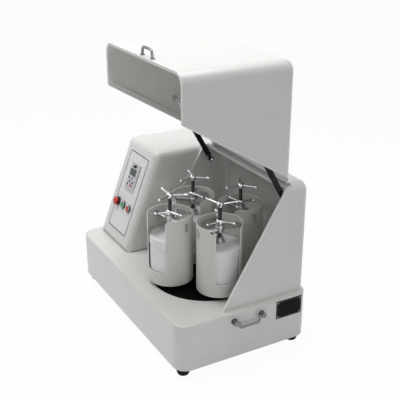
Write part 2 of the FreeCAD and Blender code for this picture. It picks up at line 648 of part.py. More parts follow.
def clampScrew(i):
    rod = stationed(cylinder(f"screwRod{i}", "screwRadius", "screwLength"), i, 0, f"{POT_Z} + {SCREW_FOOT}")
    handle = star(f"topStar{i}", i, "starHubRadius", "starHub", "starReach", f"{SCREW_FOOT} + screwLength",
                  STAR_TURNS[i], False)
    lock = star(f"lockStar{i}", i, "lockHubRadius", "lockHub", "lockReach", LOCK_Z, LOCK_TURNS[i], True)
    return group(f"screw{i}", rod, handle, lock)


for i in range(4):
    sleeveBody, planetShaft = sleeve(i)
    node(f"sleeve_{i + 1}", group(f"sleeve{i}", sleeveBody, planetShaft, planetGear(i)))
    node(f"jar_{i + 1}", jar(i))
    node(f"yoke_{i + 1}", yoke(i))
    node(f"pad_{i + 1}", pad(i))
    node(f"screw_{i + 1}", clampScrew(i))


# Hood: one rounded envelope that a diagonal splits into the fixed chamber and the lid
SPLIT_RUN = f"({SPLIT_TOP_Y} - {SPLIT_FOOT_Y})"
SPLIT_RISE = "(hoodHeight - ledgeDrop)"
SPLIT_STRETCH = f"(sqrt({SPLIT_RUN}^2 + {SPLIT_RISE}^2) / {SPLIT_RISE})"
RIM_SHIFT = f"(rimWidth * {SPLIT_STRETCH})"
GAP_SHIFT = f"(lidGap * {SPLIT_STRETCH})"
LID_FOOT = f"({BASE_TOP} + lidFootGap)"
LID_BACK_Y = f"({HINGE_Y} - knuckleRadius - leafThickness)"
HOOD_MIDDLE = f"({HOOD_LEFT} + hoodWidth / 2)"


def hoodBlock(name, inset, below):
    block = box(name + "Box", f"hoodWidth - 2 * {inset}", f"{HOOD_BACK} - {HOOD_FRONT} - 2 * {inset}",
                f"hoodHeight - {inset} + {below}", f"{HOOD_LEFT} + {inset}", f"{HOOD_FRONT} + {inset}",
                f"{BASE_TOP} - {below}")
    doc.recompute()
    top = highest(block)
    radius = size("hoodCorner") - (0 if inset == "0" else size(inset))
    return rounded(name, block, radius, lambda edge: upright(edge) or top(edge))


envelope = hoodBlock("hoodOuter", "0", "0")
skin = cut("hoodSkinShell", envelope, hoodBlock("hoodInner", "hoodSkin", "overrun"))
rims = cut("hoodRimShell", envelope, hoodBlock("hoodRimInner", "rimThickness", "overrun"))


def hoodPrism(name, points):
    return prism(name, points, "hoodWidth + 2 * overrun", f"{HOOD_LEFT} - overrun")


def hoodBar(name, y, depth, z, height):
    return box(name, "hoodWidth + 2 * overrun", depth, height, f"{HOOD_LEFT} - overrun", y, z)


def chamberShell():
    region = hoodPrism("chamberRegion", [
        (SPLIT_FOOT_Y, BASE_TOP), (SPLIT_TOP_Y, LEDGE_Z), (STEP_Y, LEDGE_Z), (STEP_Y, f"{HOOD_TOP} + overrun"),
        (f"{HOOD_BACK} + overrun", f"{HOOD_TOP} + overrun"), (f"{HOOD_BACK} + overrun", BASE_TOP),
    ])
    band = hoodPrism("chamberBand", [
        (SPLIT_FOOT_Y, BASE_TOP), (SPLIT_TOP_Y, LEDGE_Z), (f"{SPLIT_TOP_Y} + {RIM_SHIFT}", LEDGE_Z),
        (f"{SPLIT_FOOT_Y} + {RIM_SHIFT}", BASE_TOP),
    ])
    ledge = hoodBar("chamberLedge", SPLIT_TOP_Y, f"{STEP_Y} + hoodSkin - {SPLIT_TOP_Y}",
                    f"{LEDGE_Z} - rimThickness", "rimThickness")
    riser = hoodBar("chamberRiser", STEP_Y, "hoodSkin", f"{LEDGE_Z} - rimThickness", "rimThickness + ledgeDrop")
    return fuse("chamberShell", common("chamberSkin", skin, region), common("chamberRim", rims, band),
                common("chamberShelf", envelope, fuse("chamberShelfBars", ledge, riser)))


def opened(thing):
    # from shut to open: a quarter turn about the hinge
    return place(thing, "0", f"{HINGE_Y} - {HOOD_TOP}", f"{HOOD_TOP} + {HINGE_Y}", Rotation(Vector(1, 0, 0), -90))


def lidShell():
    def along(z):
        return f"{SPLIT_FOOT_Y} - {GAP_SHIFT} + ({z} - {BASE_TOP}) * {SPLIT_RUN} / {SPLIT_RISE}"

    high = f"({LEDGE_Z} + lidGap)"
    region = hoodPrism("lidRegion", [
        (along(LID_FOOT), LID_FOOT), (along(high), high), (LID_BACK_Y, high), (LID_BACK_Y, f"{HOOD_TOP} + overrun"),
        (f"{HOOD_FRONT} - overrun", f"{HOOD_TOP} + overrun"), (f"{HOOD_FRONT} - overrun", LID_FOOT),
    ])
    band = hoodPrism("lidBand", [
        (SPLIT_FOOT_Y, BASE_TOP), (SPLIT_TOP_Y, LEDGE_Z), (f"{SPLIT_TOP_Y} - {RIM_SHIFT} - {GAP_SHIFT}", LEDGE_Z),
        (f"{SPLIT_FOOT_Y} - {RIM_SHIFT} - {GAP_SHIFT}", BASE_TOP),
    ])
    low = hoodBar("lidFootBand", f"{HOOD_FRONT} - overrun", f"{SPLIT_FOOT_Y} - {HOOD_FRONT} + overrun",
                  BASE_TOP, "lidFootGap + rimWidth")
    back = hoodBar("lidBackBand", f"{LID_BACK_Y} - rimWidth", "rimWidth", LEDGE_Z, "ledgeDrop + overrun")
    edges = common("lidRim", rims, fuse("lidBands", band, low, back))
    return opened(common("lidShell", region, fuse("lidSolid", skin, edges)))


def hingeKnuckle(name, k, radius, gap):
    left = f"({HOOD_MIDDLE} - knuckles * knuckleLength / 2 + {k} * knuckleLength)"
    return cylinder(name, radius, f"knuckleLength - 2 * {gap}", f"{left} + {gap}", HINGE_Y, HOOD_TOP,
                    Rotation(Vector(0, 1, 0), 90))


def hingeLeaf(name, y, ownFirst):
    count = int(size("knuckles"))
    leaf = box(name + "Plate", "knuckles * knuckleLength", "leafThickness + leafLap", "leafDepth",
               f"{HOOD_MIDDLE} - knuckles * knuckleLength / 2", y, f"{HOOD_TOP} - leafDepth")
    others = [hingeKnuckle(f"{name}Relief{k}", k, "knuckleRadius + leafGap", "0")
              for k in range(1 - ownFirst, count, 2)]
    own = [hingeKnuckle(f"{name}Knuckle{k}", k, "knuckleRadius", "knuckleGap" if ownFirst else "0")
           for k in range(ownFirst, count, 2)]
    return fuse(name + "Solid", cut(name + "Cut", leaf, *others), *own)


def hingeRod(name, radius):
    return cylinder(name, radius, "knuckles * knuckleLength", f"{HOOD_MIDDLE} - knuckles * knuckleLength / 2",
                    HINGE_Y, HOOD_TOP, Rotation(Vector(0, 1, 0), 90))


node("chamber_shell", chamberShell())
node("lid_shell", lidShell())
node("hinge_fixed_leaf", fuse("fixedLeaf", hingeLeaf("fixedLeafPart", f"{STEP_Y} - leafThickness - leafLap", 0),
                              hingeRod("hingePin", "hingePinRadius")))
node("hinge_moving_leaf", opened(cut("movingLeaf", hingeLeaf("movingLeafPart", LID_BACK_Y, 1),
                                     hingeRod("hingeBore", "hingePinRadius + runningFit"))))


def bentBar(corners, radius, bend):
    # a round bar along straight runs with bent corners
    runs = []
    start = corners[0]
    for before, corner, after in zip(corners, corners[1:], corners[2:]):
        back, ahead = (before - corner).normalize(), (after - corner).normalize()
        half = math.acos(max(-1, min(1, back.dot(ahead)))) / 2
        reach = bend / math.tan(half)
        enter, leave = corner + back * reach, corner + ahead * reach
        middle = corner + (back + ahead).normalize() * (bend / math.sin(half) - bend)
        runs += [Part.LineSegment(start, enter).toShape(), Part.Arc(enter, middle, leave).toShape()]
        start = leave
    runs.append(Part.LineSegment(start, corners[-1]).toShape())
    path = Part.Wire(runs)
    section = Part.Wire(Part.makeCircle(radius, corners[0], corners[1] - corners[0]))
    return path.makePipeShell([section], True, True)


def lidHandle():
    # it stands on the lid's front panel, which faces up while the lid is open
    half, reach = size("lidHandleSpan") / 2, size("lidHandleReach")
    lean = size("lidHandleLean")
    bow = bentBar([Vector(-half, 0, 0), Vector(lean - half, 0, reach), Vector(half - lean, 0, reach),
                   Vector(half, 0, 0)], size("lidHandleRadius"), size("lidHandleBend"))
    for side in (-1, 1):
        bow = bow.fuse(Part.makeCylinder(size("lidHandleFoot"), size("lidHandleFootHeight"), Vector(side * half, 0, 0)))
    sole = Part.makeBox(4 * half, 2 * half, half, Vector(-2 * half, -half, -half))
    return place(feature("lidHandle", bow.cut(sole)), f"{HOOD_MIDDLE} - lidHandleX",
                 f"{HINGE_Y} - {HOOD_TOP} + {LID_FOOT} + lidHandleUp", f"{HOOD_TOP} + {HINGE_Y} - {HOOD_FRONT}")


node("lid_handle", lidHandle())


# Gas struts: each is drawn upright from its lower pivot and then leaned over
STRUT_LENGTH = "(sqrt((strutHeadBack - strutFootAhead)^2 + (strutHeadRise + strutFootDrop)^2))"
STRUT_LEAN = Rotation(Vector(1, 0, 0), math.degrees(math.atan2(
    size("strutHeadBack") - size("strutFootAhead"), size("strutHeadRise") + size("strutFootDrop"))))
SIDEWAYS = Rotation(Vector(0, 1, 0), 90)  # turns Z to X


def strutX(side):
    if side == "left":
        return f"({HOOD_LEFT} + hoodSkin + strutFromWall)"
    return f"({HOOD_RIGHT} - hoodSkin - strutFromWall)"


def leaned(thing, side):
    return place(thing, strutX(side), f"{HINGE_Y} - strutFootAhead", f"{HOOD_TOP} - strutFootDrop", STRUT_LEAN)


def strutCylinder(side):
    foot, top = "strutTubeStart", "(strutTubeStart + strutTubeLength)"
    gland = "(strutRodRadius + runningFit)"
    tube = turned(f"strutTube_{side}", [
        ("0", foot), ("strutTubeRadius", foot), ("strutTubeRadius", top), (gland, top),
        (gland, f"{top} - strutGland"), ("strutBore", f"{top} - strutGland"), ("strutBore", f"{foot} + strutEnd"),
        ("0", f"{foot} + strutEnd"),
    ])
    neck = cylinder(f"strutNeck_{side}", "eyeWidth / 2 - seatGap", foot)
    eye = cylinder(f"strutEye_{side}", "eyeRadius", "eyeWidth", "0 - eyeWidth / 2", rotation=SIDEWAYS)
    bore = cylinder(f"strutEyeBore_{side}", "studRadius + runningFit", "2 * eyeWidth", "0 - eyeWidth",
                    rotation=SIDEWAYS)
    return leaned(cut(f"strutCylinder_{side}", fuse(f"strutBody_{side}", tube, neck, eye), bore), side)


def strutRod(side):
    piston = "(strutTubeStart + strutTubeLength - strutGland - strutRodOut - strutPiston)"
    rod = cylinder(f"strutRodBar_{side}", "strutRodRadius", f"{STRUT_LENGTH} - {piston}", z=piston)
    head = cylinder(f"strutPiston_{side}", "strutBore - strutPistonPlay", "strutPiston", z=piston)
    eye = cylinder(f"strutRodEye_{side}", "eyeRadius", "eyeWidth", "0 - eyeWidth / 2", z=STRUT_LENGTH,
                   rotation=SIDEWAYS)
    wall = "0 - eyeWidth / 2 - overrun" if side == "left" else "eyeWidth / 2 - 2 * studHead"
    socket = cylinder(f"strutSocket_{side}", "studRadius + runningFit", "overrun + 2 * studHead", wall,
                      z=STRUT_LENGTH, rotation=SIDEWAYS)
    cap = cylinder(f"strutRodCap_{side}", "studHeadRadius", "studHead",
                   "eyeWidth / 2" if side == "left" else "0 - eyeWidth / 2 - studHead", z=STRUT_LENGTH,
                   rotation=SIDEWAYS)
    return leaned(cut(f"strutRod_{side}", fuse(f"strutRodSolid_{side}", rod, head, eye, cap), socket), side)


def strutStud(name, side, y, z, length, head):
    # a stud on the inner wall: washer, shank and, where the eye turns on it, a head
    def along(start, reach):
        if side == "left":
            return f"{HOOD_LEFT} + hoodSkin + ({start})"
        return f"{HOOD_RIGHT} - hoodSkin - ({start}) - ({reach})"

    parts = [("Washer", "studWasherRadius", "0", "studWasher"), ("Shank", "studRadius", "0", length)]
    if head:
        parts.append(("Head", "studHeadRadius", length, "studHead"))
    return fuse(name, *[cylinder(name + part, radius, reach, along(start, reach), y, z, SIDEWAYS)
                        for part, radius, start, reach in parts])


for side in ("left", "right"):
    node(f"strut_cylinder_{side}", strutCylinder(side))
    node(f"strut_rod_{side}", strutRod(side))

node("strut_studs_fixed", group("fixedStuds", *[
    strutStud(f"fixedStud_{side}", side, f"{HINGE_Y} - strutFootAhead", f"{HOOD_TOP} - strutFootDrop",
              "strutFromWall + eyeWidth / 2 + pivotGap", True) for side in ("left", "right")]))
node("strut_studs_lid", group("lidStuds", *[
    strutStud(f"lidStud_{side}", side, f"{HINGE_Y} - strutHeadBack", f"{HOOD_TOP} + strutHeadRise",
              "strutFromWall - eyeWidth / 2 - pivotGap", False) for side in ("left", "right")]))


# Console with a front that leans back
def consoleBlock(name, inset):
    # the corners of the side view, each moved in by the inset
    lean = "consoleLean"
    slope = f"{inset} / cos(consoleLean)"
    foot = f"{CONSOLE_FOOT} + {slope} + {inset} * tan({lean})"
    crown = f"{CONSOLE_FOOT} + {slope} + (consoleHeight - {inset}) * tan({lean})"
    block = prism(name + "Block", [
        (foot, f"{BASE_TOP} + {inset}"), (crown, f"{BASE_TOP} + consoleHeight - {inset}"),
        (f"{HOOD_BACK} - {inset}", f"{BASE_TOP} + consoleHeight - {inset}"),
        (f"{HOOD_BACK} - {inset}", f"{BASE_TOP} + {inset}"),
    ], f"{CONSOLE_RIGHT} - {CONSOLE_LEFT} - 2 * {inset}", f"{CONSOLE_LEFT} + {inset}")
    doc.recompute()
    less = 0 if inset == "0" else size(inset)
    floor = block.Shape.BoundBox.ZMin + size("runningFit")
    front = block.Shape.BoundBox.YMin + size("runningFit")
    edgeRadius, chinRadius = size("consoleEdge") - less, size("consoleChin") - less
    made = add("Part::Fillet", name)
    made.Base = block
    made.Edges = [(i, radius, radius) for i, edge in enumerate(block.Shape.Edges, 1)
                  for radius in ([edgeRadius] if edge.BoundBox.ZMax > floor
                                 else [chinRadius] if edge.BoundBox.YMax < front else [])]
    return made


def onPanel(thing, x, up, out):
    # the panel's own frame: X across, Y up the slope, Z out of it
    return place(thing, f"{CONSOLE_LEFT} + {x}",
                 f"{CONSOLE_FOOT} + ({up}) * sin(consoleLean) - ({out}) * cos(consoleLean)",
                 f"{BASE_TOP} + ({up}) * cos(consoleLean) + ({out}) * sin(consoleLean)",
                 Rotation(Vector(1, 0, 0), 90 - size("consoleLean")))


def panelBox(name, x, width, up, height, out, depth):
    return onPanel(box(name, width, height, depth), x, up, out)


def panelCylinder(name, x, up, radius, out, depth):
    return onPanel(cylinder(name, radius, depth), x, up, out)


KEYPAD = ("keypadX + keypadLip", "keypadWidth - 2 * keypadLip", "keypadUp + keypadLip",
          "keypadHeight - 2 * keypadLip")
SWITCHES = [f"(switchFirstX + {i} * switchPitch)" for i in range(3)]


def frontCutters(name):
    keypad = panelBox(name + "Keypad", *KEYPAD, "0 - overrun", "2 * overrun")
    barrels = [panelCylinder(f"{name}Switch{i}", x, "switchUp", "switchBarrel + switchPlay", "0 - overrun", "2 * overrun")
               for i, x in enumerate(SWITCHES)]
    return [keypad, *barrels]


def consoleShell():
    service = box("consoleFloorOpening", f"{CONSOLE_RIGHT} - {CONSOLE_LEFT} - 2 * consoleLip",
                  f"{HOOD_BACK} - {CONSOLE_FOOT} - 2 * consoleLip", "2 * overrun",
                  f"{CONSOLE_LEFT} + consoleLip", f"{CONSOLE_FOOT} + consoleLip", f"{BASE_TOP} - overrun")
    inlet = box("consoleInletOpening", "inletWidth - 2 * inletLip", "2 * overrun", "inletHeight - 2 * inletLip",
                "motorX - inletWidth / 2 + inletLip", f"{HOOD_BACK} - overrun",
                f"{BASE_TOP} + inletUp - inletHeight / 2 + inletLip")
    return cut("consoleShell", consoleBlock("consoleOuter", "0"), consoleBlock("consoleInner", "sheetWall"),
               service, inlet, *frontCutters("consoleFront"))


def controlPanel():
    doc.recompute()
    plate = box("panelPlate", "panelWidth", "panelHeight", "panelThickness")
    plate = onPanel(rounded("panelRound", plate, size("panelCorner"), upright), "panelX", "panelUp", "0")
    return cut("controlPanel", plate, *frontCutters("panelFront"))


def keypadModule():
    face = panelBox("keypadFace", "keypadX", "keypadWidth", "keypadUp", "keypadHeight", "panelThickness",
                    "keypadProud")
    body = panelBox("keypadBody", *KEYPAD, "panelThickness - keypadBody", "keypadBody")
    lens = panelBox("keypadLens", "keypadX + lensX", "lensWidth", "keypadUp + lensUp", "lensHeight",
                    "panelThickness + keypadProud - lensSink", "lensSink + overrun")
    stem = panelCylinder("keypadKnobBore", "keypadX + knobX", "keypadUp + knobUp", "knobStem + runningFit",
                         "panelThickness + keypadProud - knobStemDepth - seatGap", "knobStemDepth + overrun")
    return cut("keypadModule", fuse("keypadSolid", face, body), lens, stem)


def speedKnob():
    out = "panelThickness + keypadProud"
    stem = panelCylinder("knobStemPart", "keypadX + knobX", "keypadUp + knobUp", "knobStem",
                         f"{out} - knobStemDepth", "knobStemDepth + seatGap")
    cap = panelCylinder("knobCap", "keypadX + knobX", "keypadUp + knobUp", "knobRadius", f"{out} + seatGap",
                        "knobHeight")
    return fuse("speedKnob", stem, cap)


def switchTurned(name, i, points):
    return onPanel(turned(name, points), SWITCHES[i], "switchUp", "0")


def switchCollar(i):
    # a flange on the panel and a blind barrel behind it
    bore = "stopStemRadius + runningFit" if i == 0 else "plungerRadius + runningFit"
    flange = "stopCollarRadius" if i == 0 else "bezelRadius"
    front = "(panelThickness + stopCollar)" if i == 0 else "(panelThickness + bezelHeight)"
    return switchTurned(f"switchCollar{i}", i, [
        ("0", "0 - switchDepth"), ("switchBarrel", "0 - switchDepth"), ("switchBarrel", "panelThickness"),
        (flange, "panelThickness"), (flange, front), (bore, front), (bore, "switchFloor - switchDepth"),
        ("0", "switchFloor - switchDepth"),
    ])


def stopHead():
    seat = "(panelThickness + stopCollar + stopTravel)"
    return switchTurned("stopPlunger", 0, [
        ("0", "0 - plungerTail"), ("stopStemRadius", "0 - plungerTail"), ("stopStemRadius", seat),
        ("stopHeadRadius", seat), ("stopHeadRadius", f"{seat} + stopHead - stopHeadEdge"),
        ("stopHeadRadius - stopHeadEdge", f"{seat} + stopHead"), ("0", f"{seat} + stopHead"),
    ])


def pushButton(i):
    front = "(panelThickness + bezelHeight + plungerProud)"
    return switchTurned(f"pushButton{i}", i, [
        ("0", "0 - plungerTail"), ("plungerRadius", "0 - plungerTail"), ("plungerRadius", front), ("0", front),
    ])


def inverter():
    return rounded("inverter", box("inverterBox", "inverterWidth", "inverterDepth", "inverterHeight",
                   "motorX - inverterWidth / 2", f"{HOOD_BACK} - sheetWall - inverterDepth",
                   f"{BASE_TOP} + consoleHeight - inverterDrop - inverterHeight"), size("inverterEdge"), upright)


def mainsInlet():
    middle = f"({BASE_TOP} + inletUp)"
    flange = box("inletFlangePlate", "inletWidth", "inletFlange", "inletHeight", "motorX - inletWidth / 2",
                 HOOD_BACK, f"{middle} - inletHeight / 2")
    body = box("inletBodyBlock", "inletWidth - 2 * inletLip", "inletBody", "inletHeight - 2 * inletLip",
               "motorX - inletWidth / 2 + inletLip", f"{HOOD_BACK} - inletBody",
               f"{middle} - inletHeight / 2 + inletLip")
    cavity = box("inletCavityTool", "inletCavityWidth", "inletCavity + overrun", "inletCavityHeight",
                 "motorX - inletCavityWidth / 2", f"{HOOD_BACK} + inletFlange - inletCavity",
                 f"{middle} - inletCavityHeight / 2")
    pins = [box(f"inletPin{i}", "inletPinWidth", "inletPinLength + inletPinWidth", "inletPinHeight",
                f"motorX + {i} * inletPinPitch - inletPinWidth / 2",
                f"{HOOD_BACK} + inletFlange - inletCavity - inletPinWidth", f"{middle} - inletPinHeight / 2")
            for i in (-1, 0, 1)]
    return fuse("mainsInlet", cut("inletSocket", fuse("inletSolid", flange, body), cavity), *pins)


node("console_shell", consoleShell())
node("control_panel", controlPanel())
node("keypad_module", keypadModule())
node("speed_knob", speedKnob())
node("switch_collars", group("switchCollars", *[switchCollar(i) for i in range(3)]))
node("estop_head", stopHead())
node("start_button", pushButton(1))
node("stop_button", pushButton(2))
node("inverter", inverter())
node("mains_inlet", mainsInlet())


# On the outside and the walls
def bailBoss(name, side, y):
    # side is -1 for the left end and 1 for the right end
    end = "baseLength / 2"
    boss = cylinder(name + "Boss", "rosetteRadius", "rosetteDepth",
                    end if side > 0 else f"0 - {end} - rosetteDepth", y, "footHeight + bailUp", SIDEWAYS)
    foot = cylinder(name + "Foot", "rosetteFoot", "rosetteFootDepth",
                    end if side > 0 else f"0 - {end} - rosetteFootDepth", y, "footHeight + bailUp", SIDEWAYS)
    hole = cylinder(name + "Hole", "bailPinRadius + runningFit", "2 * (bailPinDepth + seatGap)",
                    f"{side} * ({end} + bailStandoff)",
                    f"{y} + rosetteRadius + bailPinDepth + seatGap" if y.endswith("- bailSpan / 2")
                    else f"{y} - rosetteRadius + bailPinDepth + seatGap",
                    "footHeight + bailUp", STANDING)
    return cut(name, fuse(name + "Solid", boss, foot), hole)


def bail(name, side):
    arm = size("bailSpan") / 2 - size("rosetteRadius") - size("pivotGap") * 2 - size("bailRadius")
    drop = size("bailDrop")
    bar = bentBar([Vector(0, -arm, 0), Vector(0, -arm, -drop), Vector(0, arm, -drop), Vector(0, arm, 0)],
                  size("bailRadius"), size("bailCorner"))
    for end in (-1, 1):
        reach = size("bailSpan") / 2 - size("rosetteRadius") + size("bailPinDepth") - arm
        pin = Part.makeCylinder(size("bailPinRadius"), reach, Vector(0, end * arm, 0), Vector(0, end, 0))
        bar = bar.fuse(Part.makeSphere(size("bailRadius"), Vector(0, end * arm, 0))).fuse(pin)
    return place(feature(name, bar.removeSplitter()), f"{side} * (baseLength / 2 + bailStandoff)", "bailY",
                 "footHeight + bailUp")


def ratingPlate():
    return box("ratingPlate", "plateThickness", "plateWidth", "plateHeight", "baseLength / 2",
               "baseDepth / 2 - plateFromBack - plateWidth / 2", f"{BASE_TOP} - plateDrop - plateHeight")


def lidSwitch():
    return box("lidSwitch", "interlockWidth", "interlockDepth", "interlockHeight",
               f"{HOOD_RIGHT} - hoodSkin - interlockWidth",
               f"{SPLIT_FOOT_Y} + (interlockUp + interlockHeight) * {SPLIT_RUN} / {SPLIT_RISE} + {RIM_SHIFT}"
               " + interlockGap", f"{BASE_TOP} + interlockUp")


def fasteners():
    made = []
    for i, sx in enumerate((-0.3, 0, 0.3)):
        for j, sy in enumerate((-1, 1)):
            made.append(cylinder(f"bottomScrew{i}{j}", "bottomScrewRadius", "bottomScrewHead",
                                 f"{sx} * baseLength", f"{sy} * (baseDepth / 2 - bottomScrewInset)",
                                 "footHeight - bottomScrewHead"))
    for i in range(6):
        made.append(cylinder(f"flangeScrew{i}", "flangeScrewRadius", "flangeScrewHead",
                             f"turntableX + flangeScrewCircle * cos({60 * i})",
                             f"turntableY + flangeScrewCircle * sin({60 * i})", f"{FRAME_TOP} + housingFlange"))
    for i, sx in enumerate((-1, 1)):
        for j, sy in enumerate((-1, 1)):
            made.append(cylinder(f"motorScrew{i}{j}", "flangeScrewRadius", "flangeScrewHead",
                                 f"motorX + {sx} * (motorFlange / 2 - motorFlangeCorner)",
                                 f"motorY + {sy} * (motorFlange / 2 - motorFlangeCorner)",
                                 f"{FRAME_TOP} + motorFlangeThickness"))
            made.append(panelCylinder(f"panelScrew{i}{j}",
                                      f"panelX + panelWidth / 2 + {sx} * (panelWidth / 2 - panelScrewInset)",
                                      f"panelUp + panelHeight / 2 + {sy} * (panelHeight / 2 - panelScrewInset)",
                                      "panelScrewRadius", "panelThickness", "panelScrewHead"))
    return group("fasteners", *made)


node("handle_rosettes", group("rosettes", *[
    bailBoss(f"rosette{side}{i}", side, f"bailY {sign} bailSpan / 2")
    for side in (-1, 1) for i, sign in enumerate("-+")]))
node("handle_right", bail("bailRight", 1))
node("handle_left", bail("bailLeft", -1))
node("rating_plate", ratingPlate())
node("lid_switch", lidSwitch())
node("fasteners", fasteners())

doc.recompute()
for thing in doc.Objects:
    if "Invalid" in thing.State or "Error" in thing.State:
        raise RuntimeError(f"{thing.Name} did not compute: {thing.State}")
for thing in nodes:
    if thing.Shape.isNull() or not thing.Shape.isValid() or thing.Shape.Volume <= 0:
        raise RuntimeError(f"{thing.Label} has no sound solid")

os.makedirs("parts", exist_ok=True)
for thing in nodes:
    thing.Shape.exportStep(f"parts/{thing.Label}.step")
print(f"{len(nodes)} nodes written")
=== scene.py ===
import json
import math

import bmesh
import bpy
from mathutils import Matrix, Vector


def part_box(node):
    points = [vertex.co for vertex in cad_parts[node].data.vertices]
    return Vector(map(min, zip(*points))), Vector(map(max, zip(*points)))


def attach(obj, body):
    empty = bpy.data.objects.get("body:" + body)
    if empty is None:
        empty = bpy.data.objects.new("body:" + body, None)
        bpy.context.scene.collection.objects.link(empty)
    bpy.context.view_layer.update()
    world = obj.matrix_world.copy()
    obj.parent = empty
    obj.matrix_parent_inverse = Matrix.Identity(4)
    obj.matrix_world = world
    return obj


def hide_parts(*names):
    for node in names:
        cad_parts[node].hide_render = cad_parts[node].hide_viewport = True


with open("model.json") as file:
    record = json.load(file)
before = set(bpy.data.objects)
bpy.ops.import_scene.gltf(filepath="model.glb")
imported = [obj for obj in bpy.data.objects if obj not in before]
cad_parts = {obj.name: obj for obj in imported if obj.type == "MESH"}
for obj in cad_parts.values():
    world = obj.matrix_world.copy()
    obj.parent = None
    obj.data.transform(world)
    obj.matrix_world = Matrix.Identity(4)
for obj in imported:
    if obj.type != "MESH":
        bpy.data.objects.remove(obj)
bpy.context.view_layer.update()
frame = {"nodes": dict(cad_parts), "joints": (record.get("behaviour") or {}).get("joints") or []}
nodes = frame["nodes"]
print("frame loaded")

mm = 0.001
pots = range(1, 5)

# Shader groups. Each takes plain numbers and gives varying colour, roughness and normal.


def newGroup(name, inputs):
    group = bpy.data.node_groups.new(name, "ShaderNodeTree")
    for label, kind, value in inputs:
        socket = group.interface.new_socket(label, in_out="INPUT", socket_type=kind)
        socket.default_value = value
    for label, kind in (("Color", "NodeSocketColor"), ("Roughness", "NodeSocketFloat"), ("Normal", "NodeSocketVector")):
        group.interface.new_socket(label, in_out="OUTPUT", socket_type=kind)
    return group, group.nodes.new("NodeGroupInput"), group.nodes.new("NodeGroupOutput")


def link(group, start, end):
    group.links.new(start, end)


def feed(group, value, socket):
    # a socket takes either another node's output or a plain value
    if isinstance(value, bpy.types.NodeSocket):
        link(group, value, socket)
    else:
        socket.default_value = value


def noiseNode(group, coords, scale, detail=4.0, roughness=0.55, stretch=None):
    vector = coords
    if stretch:
        mapping = group.nodes.new("ShaderNodeMapping")
        mapping.inputs["Scale"].default_value = stretch
        link(group, coords, mapping.inputs["Vector"])
        vector = mapping.outputs["Vector"]
    noise = group.nodes.new("ShaderNodeTexNoise")
    noise.inputs["Scale"].default_value = scale
    noise.inputs["Detail"].default_value = detail
    noise.inputs["Roughness"].default_value = roughness
    link(group, vector, noise.inputs["Vector"])
    return noise.outputs["Fac"]


def rangeNode(group, value, low, high, fromLow=0.3, fromHigh=0.7):
    node = group.nodes.new("ShaderNodeMapRange")
    node.inputs["From Min"].default_value = fromLow
    node.inputs["From Max"].default_value = fromHigh
    node.inputs["To Min"].default_value = low
    node.inputs["To Max"].default_value = high
    link(group, value, node.inputs["Value"])
    return node.outputs["Result"]


def mixColor(group, factor, a, b, blend="MIX"):
    node = group.nodes.new("ShaderNodeMix")
    node.data_type = "RGBA"
    node.blend_type = blend
    for value, socket in ((factor, node.inputs[0]), (a, node.inputs[6]), (b, node.inputs[7])):
        feed(group, value, socket)
    return node.outputs[2]


def mathNode(group, operation, a, b=0.0, clamp=False):
    node = group.nodes.new("ShaderNodeMath")
    node.operation = operation
    node.use_clamp = clamp
    feed(group, a, node.inputs[0])
    feed(group, b, node.inputs[1])
    return node.outputs[0]


def endBump(group, out, height, strength, distance):
    # fine relief on the group's normal, its strength set by one of the inputs
    bump = group.nodes.new("ShaderNodeBump")
    bump.inputs["Distance"].default_value = distance
    link(group, strength, bump.inputs["Strength"])
    link(group, height, bump.inputs["Height"])
    link(group, bump.outputs["Normal"], out.inputs["Normal"])


def objectCoords(group):
    return group.nodes.new("ShaderNodeTexCoord").outputs["Object"]


def paintGroup():
    # powder coat: fine orange peel, faint clouds and upright streaks, uneven gloss
    group, inp, out = newGroup("paintFinish", [
        ("Color", "NodeSocketColor", (0.8, 0.8, 0.8, 1)), ("Roughness", "NodeSocketFloat", 0.4),
        ("Peel", "NodeSocketFloat", 0.12), ("Cloud", "NodeSocketFloat", 0.04),
    ])
    coords = objectCoords(group)
    cloud = rangeNode(group, noiseNode(group, coords, 7.0, 3.0), 0.0, 1.0)
    streak = rangeNode(group, noiseNode(group, coords, 9.0, 3.0, stretch=(1, 1, 0.12)), 0.0, 1.0, 0.45, 0.8)
    shade = mathNode(group, "MULTIPLY", mathNode(group, "ADD", cloud, streak), inp.outputs["Cloud"])
    dark = mixColor(group, 1.0, inp.outputs["Color"], (0.72, 0.70, 0.66, 1), "MULTIPLY")
    link(group, mixColor(group, shade, inp.outputs["Color"], dark), out.inputs["Color"])
    smear = rangeNode(group, noiseNode(group, coords, 22.0, 5.0), -0.06, 0.08)
    link(group, mathNode(group, "ADD", inp.outputs["Roughness"], smear, True), out.inputs["Roughness"])
    endBump(group, out, noiseNode(group, coords, 620.0, 2.0, 0.5), inp.outputs["Peel"], 0.00012)
    return group


def metalGroup():
    # turned or ground metal: fine lines along one direction, stains and smudges
    group, inp, out = newGroup("metalFinish", [
        ("Color", "NodeSocketColor", (0.6, 0.6, 0.6, 1)), ("Roughness", "NodeSocketFloat", 0.3),
        ("Line", "NodeSocketFloat", 0.15), ("Smudge", "NodeSocketFloat", 0.08),
    ])
    coords = objectCoords(group)
    lines = noiseNode(group, coords, 90.0, 3.0, 0.6, stretch=(1, 1, 22))
    smudge = rangeNode(group, noiseNode(group, coords, 30.0, 5.0, 0.65), 0.0, 1.0)
    dark = mixColor(group, 1.0, inp.outputs["Color"], (0.6, 0.59, 0.57, 1), "MULTIPLY")
    stain = rangeNode(group, noiseNode(group, coords, 55.0, 4.0), 0.0, 0.35, 0.5, 0.75)
    link(group, mixColor(group, stain, inp.outputs["Color"], dark), out.inputs["Color"])
    spread = mathNode(group, "MULTIPLY", smudge, inp.outputs["Smudge"])
    link(group, mathNode(group, "ADD", inp.outputs["Roughness"], spread, True), out.inputs["Roughness"])
    endBump(group, out, lines, inp.outputs["Line"], 0.00006)
    return group


